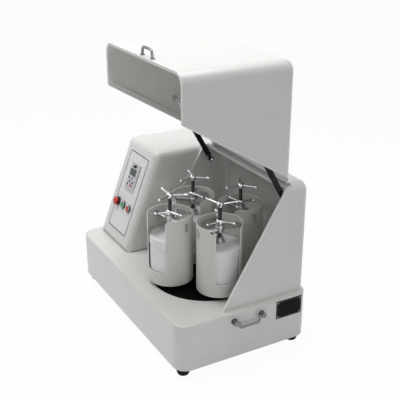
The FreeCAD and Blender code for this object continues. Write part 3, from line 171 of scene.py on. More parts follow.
def plasticGroup():
    # moulded plastic or rubber: fine grain, scuffs
    group, inp, out = newGroup("plasticFinish", [
        ("Color", "NodeSocketColor", (0.1, 0.1, 0.1, 1)), ("Roughness", "NodeSocketFloat", 0.45),
        ("Grain", "NodeSocketFloat", 0.2), ("Scuff", "NodeSocketFloat", 0.1),
    ])
    coords = objectCoords(group)
    scuff = rangeNode(group, noiseNode(group, coords, 60.0, 6.0, 0.7), 0.0, 1.0, 0.52, 0.72)
    pale = mixColor(group, 0.5, inp.outputs["Color"], (0.55, 0.54, 0.52, 1))
    amount = mathNode(group, "MULTIPLY", scuff, inp.outputs["Scuff"])
    link(group, mixColor(group, amount, inp.outputs["Color"], pale), out.inputs["Color"])
    link(group, mathNode(group, "ADD", inp.outputs["Roughness"], mathNode(group, "MULTIPLY", scuff, 0.12), True),
         out.inputs["Roughness"])
    endBump(group, out, noiseNode(group, coords, 900.0, 3.0), inp.outputs["Grain"], 0.00015)
    return group


paintFinish, metalFinish, plasticFinish = paintGroup(), metalGroup(), plasticGroup()


def material(name, group, color, roughness, own, metallic, sockets=None):
    made = bpy.data.materials.new(name)
    made.use_nodes = True
    tree = made.node_tree
    shader = tree.nodes["Principled BSDF"]
    finish = tree.nodes.new("ShaderNodeGroup")
    finish.node_tree = group
    finish.inputs["Color"].default_value = (*color, 1)
    finish.inputs["Roughness"].default_value = roughness
    for label, value in own.items():
        finish.inputs[label].default_value = value
    for label, socket in (("Color", "Base Color"), ("Roughness", "Roughness"), ("Normal", "Normal")):
        tree.links.new(finish.outputs[label], shader.inputs[socket])
    shader.inputs["Metallic"].default_value = metallic
    for label, value in (sockets or {}).items():
        shader.inputs[label].default_value = value
    return made


# Per look: the material's name, colour, roughness, the finish's two own inputs, and further shader values.
looks = [
    (paintFinish, ("Peel", "Cloud"), 0.0, {
        "shell": ("shellPaint", (0.79, 0.785, 0.765), 0.34, 0.12, 0.05, {"Coat Weight": 0.4, "Coat Roughness": 0.12}),
        "sleeve": ("sleevePaint", (0.76, 0.75, 0.715), 0.34, 0.18, 0.09),
        "black": ("blackPaint", (0.002, 0.002, 0.002), 0.5, 0.2, 0.3, {"Specular IOR Level": 0.05}),
        "strut": ("strutPaint", (0.006, 0.006, 0.007), 0.25, 0.1, 0.2, {"Specular IOR Level": 0.2}),
        "cast": ("castGrey", (0.16, 0.17, 0.18), 0.55, 0.6, 0.3),
        "motor": ("motorPaint", (0.12, 0.15, 0.19), 0.4, 0.4, 0.2),
        "panel": ("panelCoat", (0.86, 0.86, 0.85), 0.3, 0.05, 0.03),
        # near-white paint for the edge beads: a painted highlight along the rims and mouth edges
        "rim": ("rimPaint", (0.95, 0.95, 0.94), 0.2, 0.05, 0.02),
    }),
    (metalFinish, ("Line", "Smudge"), 1.0, {
        "steel": ("machinedSteel", (0.52, 0.52, 0.53), 0.28, 0.3, 0.08),
        "yoke": ("yokeSteel", (0.45, 0.45, 0.45), 0.3, 0.3, 0.15),
        "chrome": ("chromePlate", (0.62, 0.62, 0.63), 0.07, 0.03, 0.09),
        # handle chrome darkened to stand for dark surroundings reflected in it: a painted reflection
        "handle": ("handleChrome", (0.21, 0.21, 0.215), 0.1, 0.03, 0.12),
        "hinge": ("hingeSteel", (0.58, 0.58, 0.58), 0.3, 0.25, 0.08),
        "zinc": ("zincSteel", (0.62, 0.62, 0.60), 0.25, 0.12, 0.15),
        "blackSteel": ("blackSteel", (0.05, 0.05, 0.052), 0.35, 0.1, 0.2),
        "brass": ("brassPin", (0.72, 0.55, 0.25), 0.25, 0.1, 0.15),
    }),
    (plasticFinish, ("Grain", "Scuff"), 0.0, {
        "rubber": ("footRubber", (0.004, 0.004, 0.004), 0.6, 0.5, 0.03, {"Specular IOR Level": 0.15}),
        "belt": ("beltRubber", (0.02, 0.02, 0.02), 0.75, 0.6, 0.3),
        "jar": ("jarNylon", (0.93, 0.94, 0.94), 0.32, 0.1, 0.12,
                {"Subsurface Weight": 0.12, "Subsurface Radius": (0.01, 0.01, 0.01)}),
        "keypad": ("keypadPlastic", (0.58, 0.59, 0.62), 0.4, 0.2, 0.1),
        "collar": ("collarPlastic", (0.012, 0.012, 0.014), 0.22, 0.05, 0.05),
        "red": ("redPlastic", (0.60, 0.012, 0.012), 0.22, 0.04, 0.06),
        "green": ("greenPlastic", (0.015, 0.34, 0.12), 0.22, 0.04, 0.06),
        "blackPlastic": ("blackPlastic", (0.018, 0.018, 0.02), 0.45, 0.3, 0.12),
        "plate": ("plateBlack", (0.003, 0.003, 0.004), 0.35, 0.08, 0.02, {"Specular IOR Level": 0.08}),
        "blueLine": ("blueLine", (0.004, 0.008, 0.09), 0.35, 0.05, 0.05),
        "display": ("displayGlass", (0.02, 0.03, 0.028), 0.15, 0.0, 0.02),
        "segment": ("displaySegment", (0.13, 0.17, 0.14), 0.3, 0.0, 0.0),
        "keyRed": ("keyRed", (0.60, 0.10, 0.13), 0.35, 0.1, 0.1),
        "keyGrey": ("keyGrey", (0.80, 0.80, 0.82), 0.4, 0.1, 0.15),
        "keyDark": ("keyDark", (0.012, 0.014, 0.05), 0.4, 0.1, 0.15),
        "bezel": ("bezelWhite", (0.78, 0.78, 0.77), 0.28, 0.05, 0.06),
        # dark grey for the bead along the console's foot
        "footDark": ("sealRubber", (0.10, 0.10, 0.095), 0.7, 0.3, 0.2),
    }),
]
materials = {}
for group, labels, metallic, table in looks:
    for look, (name, color, roughness, first, second, *sockets) in table.items():
        own = dict(zip(labels, (first, second)))
        materials[look] = material(name, group, color, roughness, own, metallic, *sockets)


def perPot(name):
    return [f"{name}_{k}" for k in pots]


lookOfNodes = {
    "shell": ["base_shell", "base_plate", "console_shell", "chamber_shell", "lid_shell"],
    "rubber": ["feet"],
    "black": ["drive_frame", "turntable_disc"],
    "cast": ["bearing_housing", "driven_pulley", "planet_bearings", "motor_pulley"],
    "steel": ["sun_gear", "main_shaft", *perPot("pad")],
    "motor": ["motor"],
    "belt": ["drive_belt"],
    "blackPlastic": ["inverter", "lid_switch", "mains_inlet", "speed_knob"],
    "panel": ["control_panel"],
    "keypad": ["keypad_module"],
    "collar": ["switch_collars"],
    "hinge": ["hinge_fixed_leaf", "hinge_moving_leaf"],
    "zinc": ["strut_studs_fixed", "strut_studs_lid", "fasteners"],
    "plate": ["rating_plate"],
    "handle": ["handle_rosettes", "lid_handle", "handle_right", "handle_left"],
    "chrome": ["strut_rod_left", "strut_rod_right", *perPot("screw")],
    "strut": ["strut_cylinder_left", "strut_cylinder_right"],
    "red": ["estop_head", "stop_button"],
    "green": ["start_button"],
    "sleeve": perPot("sleeve"),
    "jar": perPot("jar"),
    "yoke": perPot("yoke"),
}
for look, names in lookOfNodes.items():
    for name in names:
        mesh = nodes[name].data
        mesh.materials.clear()
        mesh.materials.append(materials[look])
print("materials on", sum(map(len, lookOfNodes.values())), "nodes")


# Building blocks for the detail pieces. All sizes are in millimetres and become metres here.
def added(name, data):
    made = bpy.data.objects.new(name, data)
    bpy.context.scene.collection.objects.link(made)
    return made


def inMetres(matrix):
    return Matrix.Translation(matrix.translation * mm) @ matrix.to_quaternion().to_matrix().to_4x4()


def meshPiece(name, verts, faces, look, body, smooth=True):
    mesh = bpy.data.meshes.new(name)
    mesh.from_pydata([Vector(v) * mm for v in verts], [], faces)
    mesh.update()
    made = added(name, mesh)
    work = bmesh.new()
    work.from_mesh(mesh)
    bmesh.ops.remove_doubles(work, verts=work.verts, dist=1e-7)
    bmesh.ops.recalc_face_normals(work, faces=work.faces)
    work.to_mesh(mesh)
    work.free()
    mesh.materials.append(materials[look])
    if smooth:
        mesh.polygons.foreach_set("use_smooth", [True] * len(mesh.polygons))
        mesh.set_sharp_from_angle(angle=math.radians(40))
    if body:
        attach(made, body)
    return made


def around(k, steps):
    # cosine and sine at step k of a full turn
    angle = math.tau * k / steps
    return math.cos(angle), math.sin(angle)


def circlePoints(radius, steps):
    return [(radius * c, radius * s) for c, s in (around(k, steps) for k in range(steps))]


def barFaces(rows, steps):
    # side faces between rows of points and a face at either end
    faces = []
    for i in range(rows - 1):
        for k in range(steps):
            a, b = i * steps + k, i * steps + (k + 1) % steps
            faces.append((a, b, b + steps, a + steps))
    return faces + [tuple(reversed(range(steps))), tuple(range((rows - 1) * steps, rows * steps))]


def lathe(profile, steps=48):
    # verts and faces of a closed outline of (radius, height) turned about Z
    verts, faces = [], []
    count = len(profile)
    for k in range(steps):
        c, s = around(k, steps)
        verts += [(r * c, r * s, z) for r, z in profile]
    for k in range(steps):
        for i in range(count):
            j = (i + 1) % count
            a, b = k * count, (k + 1) % steps * count
            if profile[i][0] < 1e-6 and profile[j][0] < 1e-6:
                continue
            faces.append((a + i, b + i, b + j, a + j))
    return verts, faces


def rounding(corners, radius, steps=4):
    # an outline with each corner cut round, by one radius or by one for each corner
    out = []
    count = len(corners)
    for i, corner in enumerate(corners):
        r = radius[i] if isinstance(radius, (list, tuple)) else radius
        p = Vector((*corner, 0))
        before, after = Vector((*corners[i - 1], 0)) - p, Vector((*corners[(i + 1) % count], 0)) - p
        if r <= 0 or before.length < 1e-6 or after.length < 1e-6:
            out.append(corner)
            continue
        reach = min(r, before.length * 0.49, after.length * 0.49)
        a, b = p + before.normalized() * reach, p + after.normalized() * reach
        for k in range(steps + 1):
            t = k / steps
            q = a * (1 - t) ** 2 + p * 2 * t * (1 - t) + b * t * t
            out.append((q.x, q.y))
    return out


def turned(profile, radius, steps=48):
    return lathe(rounding(profile, radius), steps)


def tube(points, radii, steps=16):
    # a round bar along points with one radius each, closed at both ends
    verts = []
    pts = [Vector(p) for p in points]
    normal = None
    for i, p in enumerate(pts):
        ahead = (pts[min(i + 1, len(pts) - 1)] - pts[max(i - 1, 0)]).normalized()
        if normal is None:
            normal = ahead.orthogonal().normalized()
        normal = (normal - ahead * normal.dot(ahead)).normalized()
        side = ahead.cross(normal)
        for k in range(steps):
            c, s = around(k, steps)
            verts.append(p + (normal * c + side * s) * radii[i])
    return verts, barFaces(len(pts), steps)


def layered(*loops):
    # a closed body through outlines of equal count, each at its height
    verts = [(x, y, z) for line, z in loops for x, y in line]
    return verts, barFaces(len(loops), len(loops[0][0]))


def plate(outline, low, high):
    return layered((outline, low), (outline, high))


def loopStack(loops):
    # a ring-shaped skin through outlines of equal count, closed from the last back to the first
    count = len(loops[0][0])
    verts = [(x, y, z) for line, z in loops for x, y in line]
    faces = []
    for j in range(len(loops)):
        a, b = j * count, (j + 1) % len(loops) * count
        faces += [(a + i, a + (i + 1) % count, b + (i + 1) % count, b + i) for i in range(count)]
    return verts, faces


def plateRing(outer, inner, low, high):
    return loopStack([(outer, low), (outer, high), (inner, high), (inner, low)])


def rectangle(x, y, width, height, radius=0.0, inset=0.0):
    left, low, right, high = x + inset, y + inset, x + width - inset, y + height - inset
    corners = [(left, low), (right, low), (right, high), (left, high)]
    return rounding(corners, radius) if radius else corners


def newTree(name, inputs):
    # a geometry tree with named inputs, ending in real geometry with its material on
    tree = bpy.data.node_groups.new(name, "GeometryNodeTree")
    tree.interface.new_socket("Geometry", in_out="OUTPUT", socket_type="NodeSocketGeometry")
    for label, kind in [("Geometry", "Geometry")] + inputs + [("Material", "Material")]:
        tree.interface.new_socket(label, in_out="INPUT", socket_type="NodeSocket" + kind)
    start, end = tree.nodes.new("NodeGroupInput"), tree.nodes.new("NodeGroupOutput")
    real, paint = tree.nodes.new("GeometryNodeRealizeInstances"), tree.nodes.new("GeometryNodeSetMaterial")
    tree.links.new(real.outputs[0], paint.inputs["Geometry"])
    tree.links.new(start.outputs["Material"], paint.inputs["Material"])
    tree.links.new(paint.outputs[0], end.inputs[0])
    return tree, start, real


def beadTree():
    # a round bead along a path of edges
    tree, start, real = newTree("beadAlongPath", [("Radius", "Float"), ("Around", "Int")])
    curve, ring = tree.nodes.new("GeometryNodeMeshToCurve"), tree.nodes.new("GeometryNodeCurvePrimitiveCircle")
    sweep, smooth = tree.nodes.new("GeometryNodeCurveToMesh"), tree.nodes.new("GeometryNodeSetShadeSmooth")
    sweep.inputs["Fill Caps"].default_value = True
    for a, b in ((start.outputs["Geometry"], curve.inputs["Mesh"]), (start.outputs["Radius"], ring.inputs["Radius"]),
                 (start.outputs["Around"], ring.inputs["Resolution"]), (curve.outputs[0], sweep.inputs["Curve"]),
                 (ring.outputs[0], sweep.inputs["Profile Curve"]), (sweep.outputs[0], smooth.inputs[0]),
                 (smooth.outputs[0], real.inputs[0])):
        tree.links.new(a, b)
    return tree


def headTree():
    # one head on each point, each turned by chance
    tree, start, real = newTree("headsOnPoints", [("Head", "Object"), ("Size", "Float"), ("Seed", "Int")])
    head, spread = tree.nodes.new("GeometryNodeObjectInfo"), tree.nodes.new("GeometryNodeInstanceOnPoints")
    chance, turn = tree.nodes.new("FunctionNodeRandomValue"), tree.nodes.new("FunctionNodeEulerToRotation")
    chance.data_type = "FLOAT_VECTOR"
    chance.inputs["Min"].default_value = (0, 0, 0)
    chance.inputs["Max"].default_value = (0, 0, math.tau)
    for a, b in ((start.outputs["Geometry"], spread.inputs["Points"]), (start.outputs["Head"], head.inputs["Object"]),
                 (head.outputs["Geometry"], spread.inputs["Instance"]), (start.outputs["Seed"], chance.inputs["Seed"]),
                 (chance.outputs["Value"], turn.inputs["Euler"]), (turn.outputs[0], spread.inputs["Rotation"]),
                 (start.outputs["Size"], spread.inputs["Scale"]), (spread.outputs[0], real.inputs[0])):
        tree.links.new(a, b)
    return tree


beads, heads = beadTree(), headTree()


def grown(name, tree, points, edges, look, body, place=None, **inputs):
    # runs a tree on points and edges in millimetres and keeps the plain mesh
    mesh = bpy.data.meshes.new(name)
    mesh.from_pydata([Vector(p) * mm for p in points], edges, [])
    rough = added(name + "Path", mesh)
    modifier = rough.modifiers.new("grow", "NODES")
    modifier.node_group = tree
    inputs["Material"] = materials[look]
    for item in tree.interface.items_tree:
        if item.in_out == "INPUT" and item.name in inputs:
            modifier[item.identifier] = inputs[item.name]
    depsgraph = bpy.context.evaluated_depsgraph_get()
    made = added(name, bpy.data.meshes.new_from_object(rough.evaluated_get(depsgraph)))
    rough.modifiers.remove(modifier)
    bpy.data.objects.remove(rough)
    if place:
        made.data.transform(inMetres(place))
    made.data.name = name
    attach(made, body)
    return made


def bead(name, points, radius, look, body, closed=False, place=None):
    edges = [(i, i + 1) for i in range(len(points) - 1)] + ([(len(points) - 1, 0)] if closed else [])
    return grown(name, beads, points, edges, look, body, place, Radius=radius * mm, Around=10)


def headsAt(name, part, points, look, body, place, seed):
    pattern = meshPiece(name + "Head", *part, look, None)
    made = grown(name, heads, points, [], look, body, place, Head=pattern, Size=1.0, Seed=seed)
    bpy.data.objects.remove(pattern)
    return made


def joined(*parts):
    verts, faces = [], []
    for v, f in parts:
        shift = len(verts)
        verts += list(v)
        faces += [tuple(i + shift for i in face) for face in f]
    return verts, faces


def moved(part, matrix):
    verts, faces = part
    return [matrix @ Vector(v) for v in verts], faces


def rotation(angle, axis):
    return Matrix.Rotation(math.radians(angle), 4, axis)


def at(x, y, z, turn=0.0):
    return Matrix.Translation((x, y, z)) @ rotation(turn, "Z")


def levels(node):
    # lowest and highest height of a CAD node
    return [corner.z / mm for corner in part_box(node)]


joints = {joint["name"]: joint for joint in frame["joints"]}
jointPlaces = {name: Vector(joint["pos_m"]) / mm for name, joint in joints.items() if "pos_m" in joint}
potTurns = dict(zip(pots, (16, 85, 7, 45)))
housing = {"floorZ": levels("chamber_shell")[0], "consoleLeft": -356.0, "consoleRight": -133.0,
           "consoleFront": -166.0, "consoleBack": 225.0, "consoleLean": 21.2}
panelPlace = at(housing["consoleLeft"], housing["consoleFront"], housing["floorZ"])
panelPlace = panelPlace @ rotation(90 - housing["consoleLean"], "X")


def atPot(k, z, turn=0.0):
    place = jointPlaces[f"pot_spin_{k}"]
    return at(place.x, place.y, z, turn)


def fused(name, part, voxel, rounds):
    # one skin over crossing solids, as a casting has
    made = meshPiece(name, *part, "chrome", None)
    remesh = made.modifiers.new("fuse", "REMESH")
    remesh.mode = "VOXEL"
    remesh.voxel_size = voxel * mm
    soften = made.modifiers.new("soften", "SMOOTH")
    soften.iterations = rounds
    depsgraph = bpy.context.evaluated_depsgraph_get()
    mesh = bpy.data.meshes.new_from_object(made.evaluated_get(depsgraph))
    bpy.data.objects.remove(made)
    mesh.polygons.foreach_set("use_smooth", [True] * len(mesh.polygons))
    return mesh


def starMesh(name, v):
    # a turned hub with three arms that thin out and end in balls
    points = [(share * v["reach"], 0, v["armZ"] + rise) for share, rise, radius in v["arm"]]
    arm = tube(points, [radius for share, rise, radius in v["arm"]])
    arms = [moved(arm, rotation(angle, "Z")) for angle in (0, 120, 240)]
    return fused(name, joined(turned(v["hub"], v["hubRounding"]), *arms), v["voxel"], v["rounds"])


def placedCopy(name, mesh, matrix, look, body):
    copy = mesh.copy()
    copy.name = name
    copy.transform(inMetres(matrix))
    copy.materials.clear()
    copy.materials.append(materials[look])
    made = added(name, copy)
    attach(made, body)
    return made


def threadedRod(v):
    # a fine helical ridge on a round rod
    verts = []
    steps, rows = v["steps"], int((v["top"] - v["foot"]) / v["row"])
    for i in range(rows + 1):
        z = v["foot"] + (v["top"] - v["foot"]) * i / rows
        for k in range(steps):
            phase = (z / v["pitch"] - k / steps) % 1
            r = v["radius"] - v["depth"] * (1 - abs(2 * phase - 1))
            c, s = around(k, steps)
            verts.append((r * c, r * s, z))
    return verts, barFaces(rows + 1, steps)


def clampScrews():
    v = {
        "top": {"hub": [(0, 0), (9.0, 0), (10.8, 4), (10.8, 13), (7.5, 18), (0, 20)], "hubRounding": 3,
                "reach": 54, "armZ": 10, "voxel": 0.9, "rounds": 4,
                "arm": [(0.0, 0, 4.6), (0.3, 0.6, 4.0), (0.6, 1.4, 3.3), (0.84, 1.8, 3.2), (0.9, 1.9, 4.4),
                        (0.96, 2.0, 5.2), (1.03, 2.0, 4.6), (1.06, 2.0, 2.4)]},
        "lock": {"hub": [(5.2, 0), (10.5, 0), (12, 3), (12, 12), (9.5, 16), (5.2, 16)], "hubRounding": 2,
                 "reach": 47, "armZ": 8, "voxel": 0.9, "rounds": 4,
                 "arm": [(0.16, 0, 4.4), (0.3, 0.2, 4.0), (0.6, 0.6, 3.3), (0.84, 0.8, 3.2), (0.9, 0.9, 4.4),
                         (0.97, 1.0, 5.0), (1.04, 1.0, 4.4), (1.08, 1.0, 2.2)]},
        "topTurns": (58, 77, 34, 47), "lockTurns": (20, 38, 75, 12), "topHeight": 20, "lockGap": 0.3,
        "rod": {"radius": 6.0, "depth": 0.7, "pitch": 2.0, "row": 0.5, "steps": 28}, "rodInTop": 8,
    }
    top, lock = starMesh("starTop", v["top"]), starMesh("starLock", v["lock"])
    for k, topTurn, lockTurn in zip(pots, v["topTurns"], v["lockTurns"]):
        low, high = levels(f"screw_{k}")
        topZ, lockZ = high - v["topHeight"], levels(f"yoke_{k}")[1] + v["lockGap"]
        rod = threadedRod({**v["rod"], "foot": low, "top": topZ + v["rodInTop"]})
        made = meshPiece(f"screwRod{k}", *moved(rod, atPot(k, 0)), "blackSteel", f"screw_{k}", smooth=False)
        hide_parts(f"screw_{k}")
        for name, mesh, z, turn in (("starTop", top, topZ, topTurn), ("starLock", lock, lockZ, lockTurn)):
            star = placedCopy(f"{name}{k}", mesh, atPot(k, z, turn), "chrome", f"screw_{k}")
            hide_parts(f"screw_{k}")


def jars():
    v = {"radius": 64, "body": 121, "lid": 26, "lidRadius": 65.8, "wall": 10, "steps": 96,
         "bodyRounding": 0.8, "lidRounding": 0.9}
    r, inner, lidR = v["radius"], v["radius"] - v["wall"], v["lidRadius"]
    top, crown = v["body"], v["body"] + v["lid"]
    body = turned([(0, 0), (r - 3, 0), (r, 3), (r, top - 9), (r - 1.2, top - 8), (r - 1.2, top - 5), (r, top - 4),
                   (r, top), (inner, top), (inner, v["wall"]), (0, v["wall"])], v["bodyRounding"], v["steps"])
    lid = turned([(0, top - 8), (inner - 0.6, top - 8), (inner - 0.6, top + 0.2), (lidR - 0.8, top + 0.2),
                  (lidR, top + 1.4), (lidR, top + 6), (lidR - 1.0, top + 7), (lidR - 1.0, top + 9), (lidR, top + 10),
                  (lidR, crown - 3.5), (lidR - 3.5, crown), (52, crown), (50, crown - 1.2), (18, crown - 1.2),
                  (16.5, crown), (0, crown)], v["lidRounding"], v["steps"])
    for k in pots:
        place = atPot(k, levels(f"jar_{k}")[0])
        for name, part in (("jarBody", body), ("jarLid", lid)):
            made = meshPiece(f"{name}{k}", *moved(part, place), "jar", f"pot_{k}")
            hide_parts(f"jar_{k}")


def potFlanges():
    # black clamping flange under each sleeve, with its ring of screws
    v = {"radius": 45.3, "inner": 12.6, "up": 6.05, "height": 6.9, "edge": 1.5, "rounding": 0.6, "circle": 36,
         "screws": 6, "head": 4.2, "headHeight": 3, "headSunk": 0.4, "headRounding": 0.5}
    wide, high, sunk = v["head"], v["headHeight"], v["headSunk"]
    head = turned([(0, -high), (wide, -high), (wide, sunk), (0, sunk)], v["headRounding"], 18)
    ring = turned([(v["inner"], 0), (v["radius"] - v["edge"], 0), (v["radius"], v["edge"]),
                   (v["radius"], v["height"]), (v["inner"], v["height"])], v["rounding"], 72)
    circle = [(x, y, 0) for x, y in circlePoints(v["circle"], v["screws"])]
    for k in pots:
        place = atPot(k, housing["floorZ"] + v["up"])
        meshPiece(f"potFlange{k}", *moved(ring, place), "black", f"pot_{k}")
        screws = headsAt(f"flangeScrews{k}", head, circle, "blackPlastic", f"pot_{k}", place, k)


def highlightedSleeveRims():
    # a rolled edge round each sleeve's rim and down the sides of its open window, painted near white as a painted
    # highlight along the edge
    v = {"radius": 69.5, "half": 40.7, "corner": 12, "height": 219, "sill": 41, "bead": 1.5, "sunk": 0.7,
         "rimSteps": 90, "arcSteps": 8, "sideSteps": 24, "sillSteps": 12}
    r, c, half, top, quarter = v["radius"], v["corner"], v["half"], v["height"], math.pi / 2

    def bend(x, z, start, sweep):
        angles = [start + sweep * i / v["arcSteps"] for i in range(v["arcSteps"] + 1)]
        return [(x + c * math.cos(angle), z + c * math.sin(angle)) for angle in angles]

    side = bend(half + c, top - c, quarter, quarter)
    side += [(half, top - c - (top - 2 * c - v["sill"]) * i / v["sideSteps"]) for i in range(1, v["sideSteps"])]
    side += bend(half - c, v["sill"] + c, 0, -quarter)
    side += [((half - c) * (1 - i / v["sillSteps"]), v["sill"]) for i in range(1, v["sillSteps"])]
    window = side + [(0, v["sill"])] + [(-x, z) for x, z in reversed(side)]
    path = [(math.asin(x / r), z) for x, z in window]
    start = math.asin((half + c) / r)
    path += [(-start - (math.tau - 2 * start) * i / v["rimSteps"], top) for i in range(1, v["rimSteps"])]
    points = [(r * math.sin(a), -r * math.cos(a), z - top) for a, z in path]
    for k in pots:
        place = atPot(k, levels(f"sleeve_{k}")[1] - v["bead"] * v["sunk"], potTurns[k])
        bead(f"sleeveRim{k}", points, v["bead"], "rim", f"pot_{k}", True, place)


def aroundHole(corners, x, y, steps, shrink=0.0):
    # a straight-sided outline as it is met by equal angles about (x, y)
    out = []
    for k in range(steps):
        way = Vector(around(k, steps))
        reach = []
        for i, corner in enumerate(corners):
            start, side = Vector(corners[i - 1]), Vector(corner) - Vector(corners[i - 1])
            normal = Vector((side.y, -side.x)).normalized()
            slope = normal.dot(way)
            if slope > 1e-6:
                reach.append((normal.dot(start - Vector((x, y))) - shrink) / slope)
        out.append((x + way.x * min(reach), y + way.y * min(reach)))
    return out


def yokes():
    # a tapered bar with a hole near each end, a turned boss and bent clips outside the sleeve
    v = {"thick": 9, "rise": 1.2, "from": 9, "hubWidth": 11.5, "end": 70.8, "endWidth": 8, "bevel": 1.1,
         "hole": 55, "holeRadius": 3.6, "steps": 48, "bore": 6.25, "boss": 14, "bossFoot": -16, "bossTop": 9,
         "clipWidth": 5, "clipWiden": 2, "clipFrom": 71, "clip": 2, "clipFoot": -27.5,
         "clipRounding": (3.5, 3.5, 2, 2, 2, 2)}
    top, low = v["rise"], v["rise"] - v["thick"]
    start, hub, end, tip = v["from"], v["hubWidth"], v["end"], v["endWidth"]
    corners = [(start, -hub), (end, -tip), (end, tip), (start, hub)]
    outer, crown = (aroundHole(corners, v["hole"], 0, v["steps"], shrink) for shrink in (0.0, v["bevel"]))
    hole = [(v["hole"] + x, y) for x, y in circlePoints(v["holeRadius"], v["steps"])]
    arm = loopStack([(outer, low), (outer, top - v["bevel"]), (crown, top), (hole, top), (hole, low)])
    bore, wide, bossFoot, bossTop = v["bore"], v["boss"], v["bossFoot"], v["bossTop"]
    boss = turned([(bore, bossFoot), (wide - 2, bossFoot), (wide - 2, low - 0.4), (wide, low), (wide, top + 1.5),
                   (wide - 1.5, top + 3), (wide - 1.5, bossTop), (bore, bossTop)], 0.8, 64)
    clip, wider, foot = v["clipWidth"], v["clipWidth"] + v["clipWiden"], v["clipFoot"]
    outline = [(-clip, foot), (clip, foot), (wider, low), (wider, top), (-wider, top), (-wider, low)]
    strip = plate(rounding(outline, v["clipRounding"]), 0, v["clip"])
    standing = Matrix(((0, 0, 1, v["clipFrom"]), (1, 0, 0, 0), (0, 1, 0, 0), (0, 0, 0, 1)))
    sides = [at(0, 0, 0, turn) for turn in (0, 180)]
    bar = joined(*(moved(arm, side) for side in sides), boss)
    clips = joined(*(moved(strip, side @ standing) for side in sides))
    for k in pots:
        place = atPot(k, levels(f"yoke_{k}")[1] - v["bossTop"], potTurns[k])
        for name, part, look in (("yokeBar", bar, "yoke"), ("yokeClips", clips, "zinc")):
            made = meshPiece(f"{name}{k}", *moved(part, place), look, f"pot_{k}")
            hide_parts(f"yoke_{k}")


def panelDetails():
    v = {"x": 48, "up": 45, "width": 140, "height": 282, "skin": 1.5, "inset": 1.6, "line": 3.3, "corner": 3,
         "strip": (151.0, 215, 1.8, 72, 0.5), "face": 4.5, "lens": (91, 246, 45, 24), "lensGap": 0.4,
         "screw": (2.7, 1.7), "screwInset": 5,
         "digits": {"count": 4, "x": 5, "up": 5.5, "pitch": 9.4, "width": 6.4, "height": 13, "bar": 1.0, "gap": 0.7},
         "keys": {"columns": 4, "rows": 3, "x": 93.5, "up": 208.5, "pitch": 10.6, "pitchUp": 12.2, "width": 8.2,
                  "height": 7.6, "corner": 1.6, "slope": 0.7, "crownCorner": 1.4, "red": ((2, 0), (3, 0))}}
    skin, face = v["skin"], v["face"]

    def onPanel(name, part, look, smooth=False):
        meshPiece(name, *moved(part, panelPlace), look, "base", smooth)

    board = (v["x"], v["up"], v["width"], v["height"], v["corner"])
    outer, inner = (rectangle(*board, inset) for inset in (v["inset"], v["inset"] + v["line"]))
    onPanel("panelBorder", plateRing(outer, inner, skin - 0.05, skin + 0.12), "blueLine")
    glass = rectangle(*v["lens"], 1.0, v["lensGap"])
    onPanel("displayGlass", plate(glass, face - 0.98, face - 0.35), "display")
    onPanel("panelStrip", plate(rectangle(*v["strip"]), skin - 0.05, skin + 0.1), "blueLine")
    digits = v["digits"]
    wide, tall, bar, gap = digits["width"], digits["height"], digits["bar"], digits["gap"]
    bars = []
    for digit in range(digits["count"]):
        left, low = v["lens"][0] + digits["x"] + digit * digits["pitch"], v["lens"][1] + digits["up"]
        bars += [(left + gap, low + up - bar / 2, wide - 2 * gap, bar) for up in (0, tall / 2, tall)]
        bars += [(left + along - bar / 2, low + up + gap, bar, tall / 2 - 2 * gap)
                 for up in (0, tall / 2) for along in (0, wide)]
    segments = joined(*(plate(rectangle(*box, 0.3), face - 0.4, face - 0.28) for box in bars))
    onPanel("displaySegments", segments, "segment")
    keys = v["keys"]
    for column in range(keys["columns"]):
        for row in range(keys["rows"]):
            left, low = keys["x"] + column * keys["pitch"], keys["up"] + row * keys["pitchUp"]
            box = (left, low, keys["width"], keys["height"])
            tile, crown = rectangle(*box, keys["corner"]), rectangle(*box, keys["crownCorner"], keys["slope"])
            look = "keyRed" if (column, row) in keys["red"] else "keyGrey" if (column + row) % 2 else "keyDark"
            key = layered((tile, face - 0.1), (tile, face + 0.5), (crown, face + 1.1))
            onPanel(f"key{column}{row}", key, look, True)
    ends = rectangle(*board[:4], 0.0, v["screwInset"])
    corners = [(x, y, skin) for x in (ends[0][0], ends[2][0]) for y in (ends[0][1], ends[2][1])]
    screws = headsAt("panelScrews", crossHead(*v["screw"]), corners, "blackPlastic", "base", panelPlace, 3)


def crossHead(radius, height, steps=32):
    # a domed screw head with a cross recess
    v = {"rings": (0.18, 0.36, 0.52, 0.7, 0.88, 1.0), "dome": 0.86, "slot": 0.13, "slotReach": 0.6, "slotDepth": 0.5,
         "middle": 0.45}
    verts, faces = [(0, 0, height * v["middle"])], []
    for share in v["rings"]:
        for x, y in circlePoints(radius * share, steps):
            z = height * math.sqrt(1 - (share * v["dome"]) ** 2)
            if min(abs(x), abs(y)) < radius * v["slot"] and share < v["slotReach"]:
                z -= height * v["slotDepth"]
            verts.append((x, y, z))
    base = len(verts)
    verts += [(x, y, 0) for x, y in circlePoints(radius, steps)]
    for k in range(steps):
        j = (k + 1) % steps
        faces.append((0, 1 + k, 1 + j))
        for ring in range(len(v["rings"]) - 1):
            a = 1 + ring * steps
            faces.append((a + k, a + steps + k, a + steps + j, a + j))
        faces.append((base - steps + k, base + k, base + j, base - steps + j))
    faces.append(tuple(reversed(range(base, base + steps))))
    return verts, faces


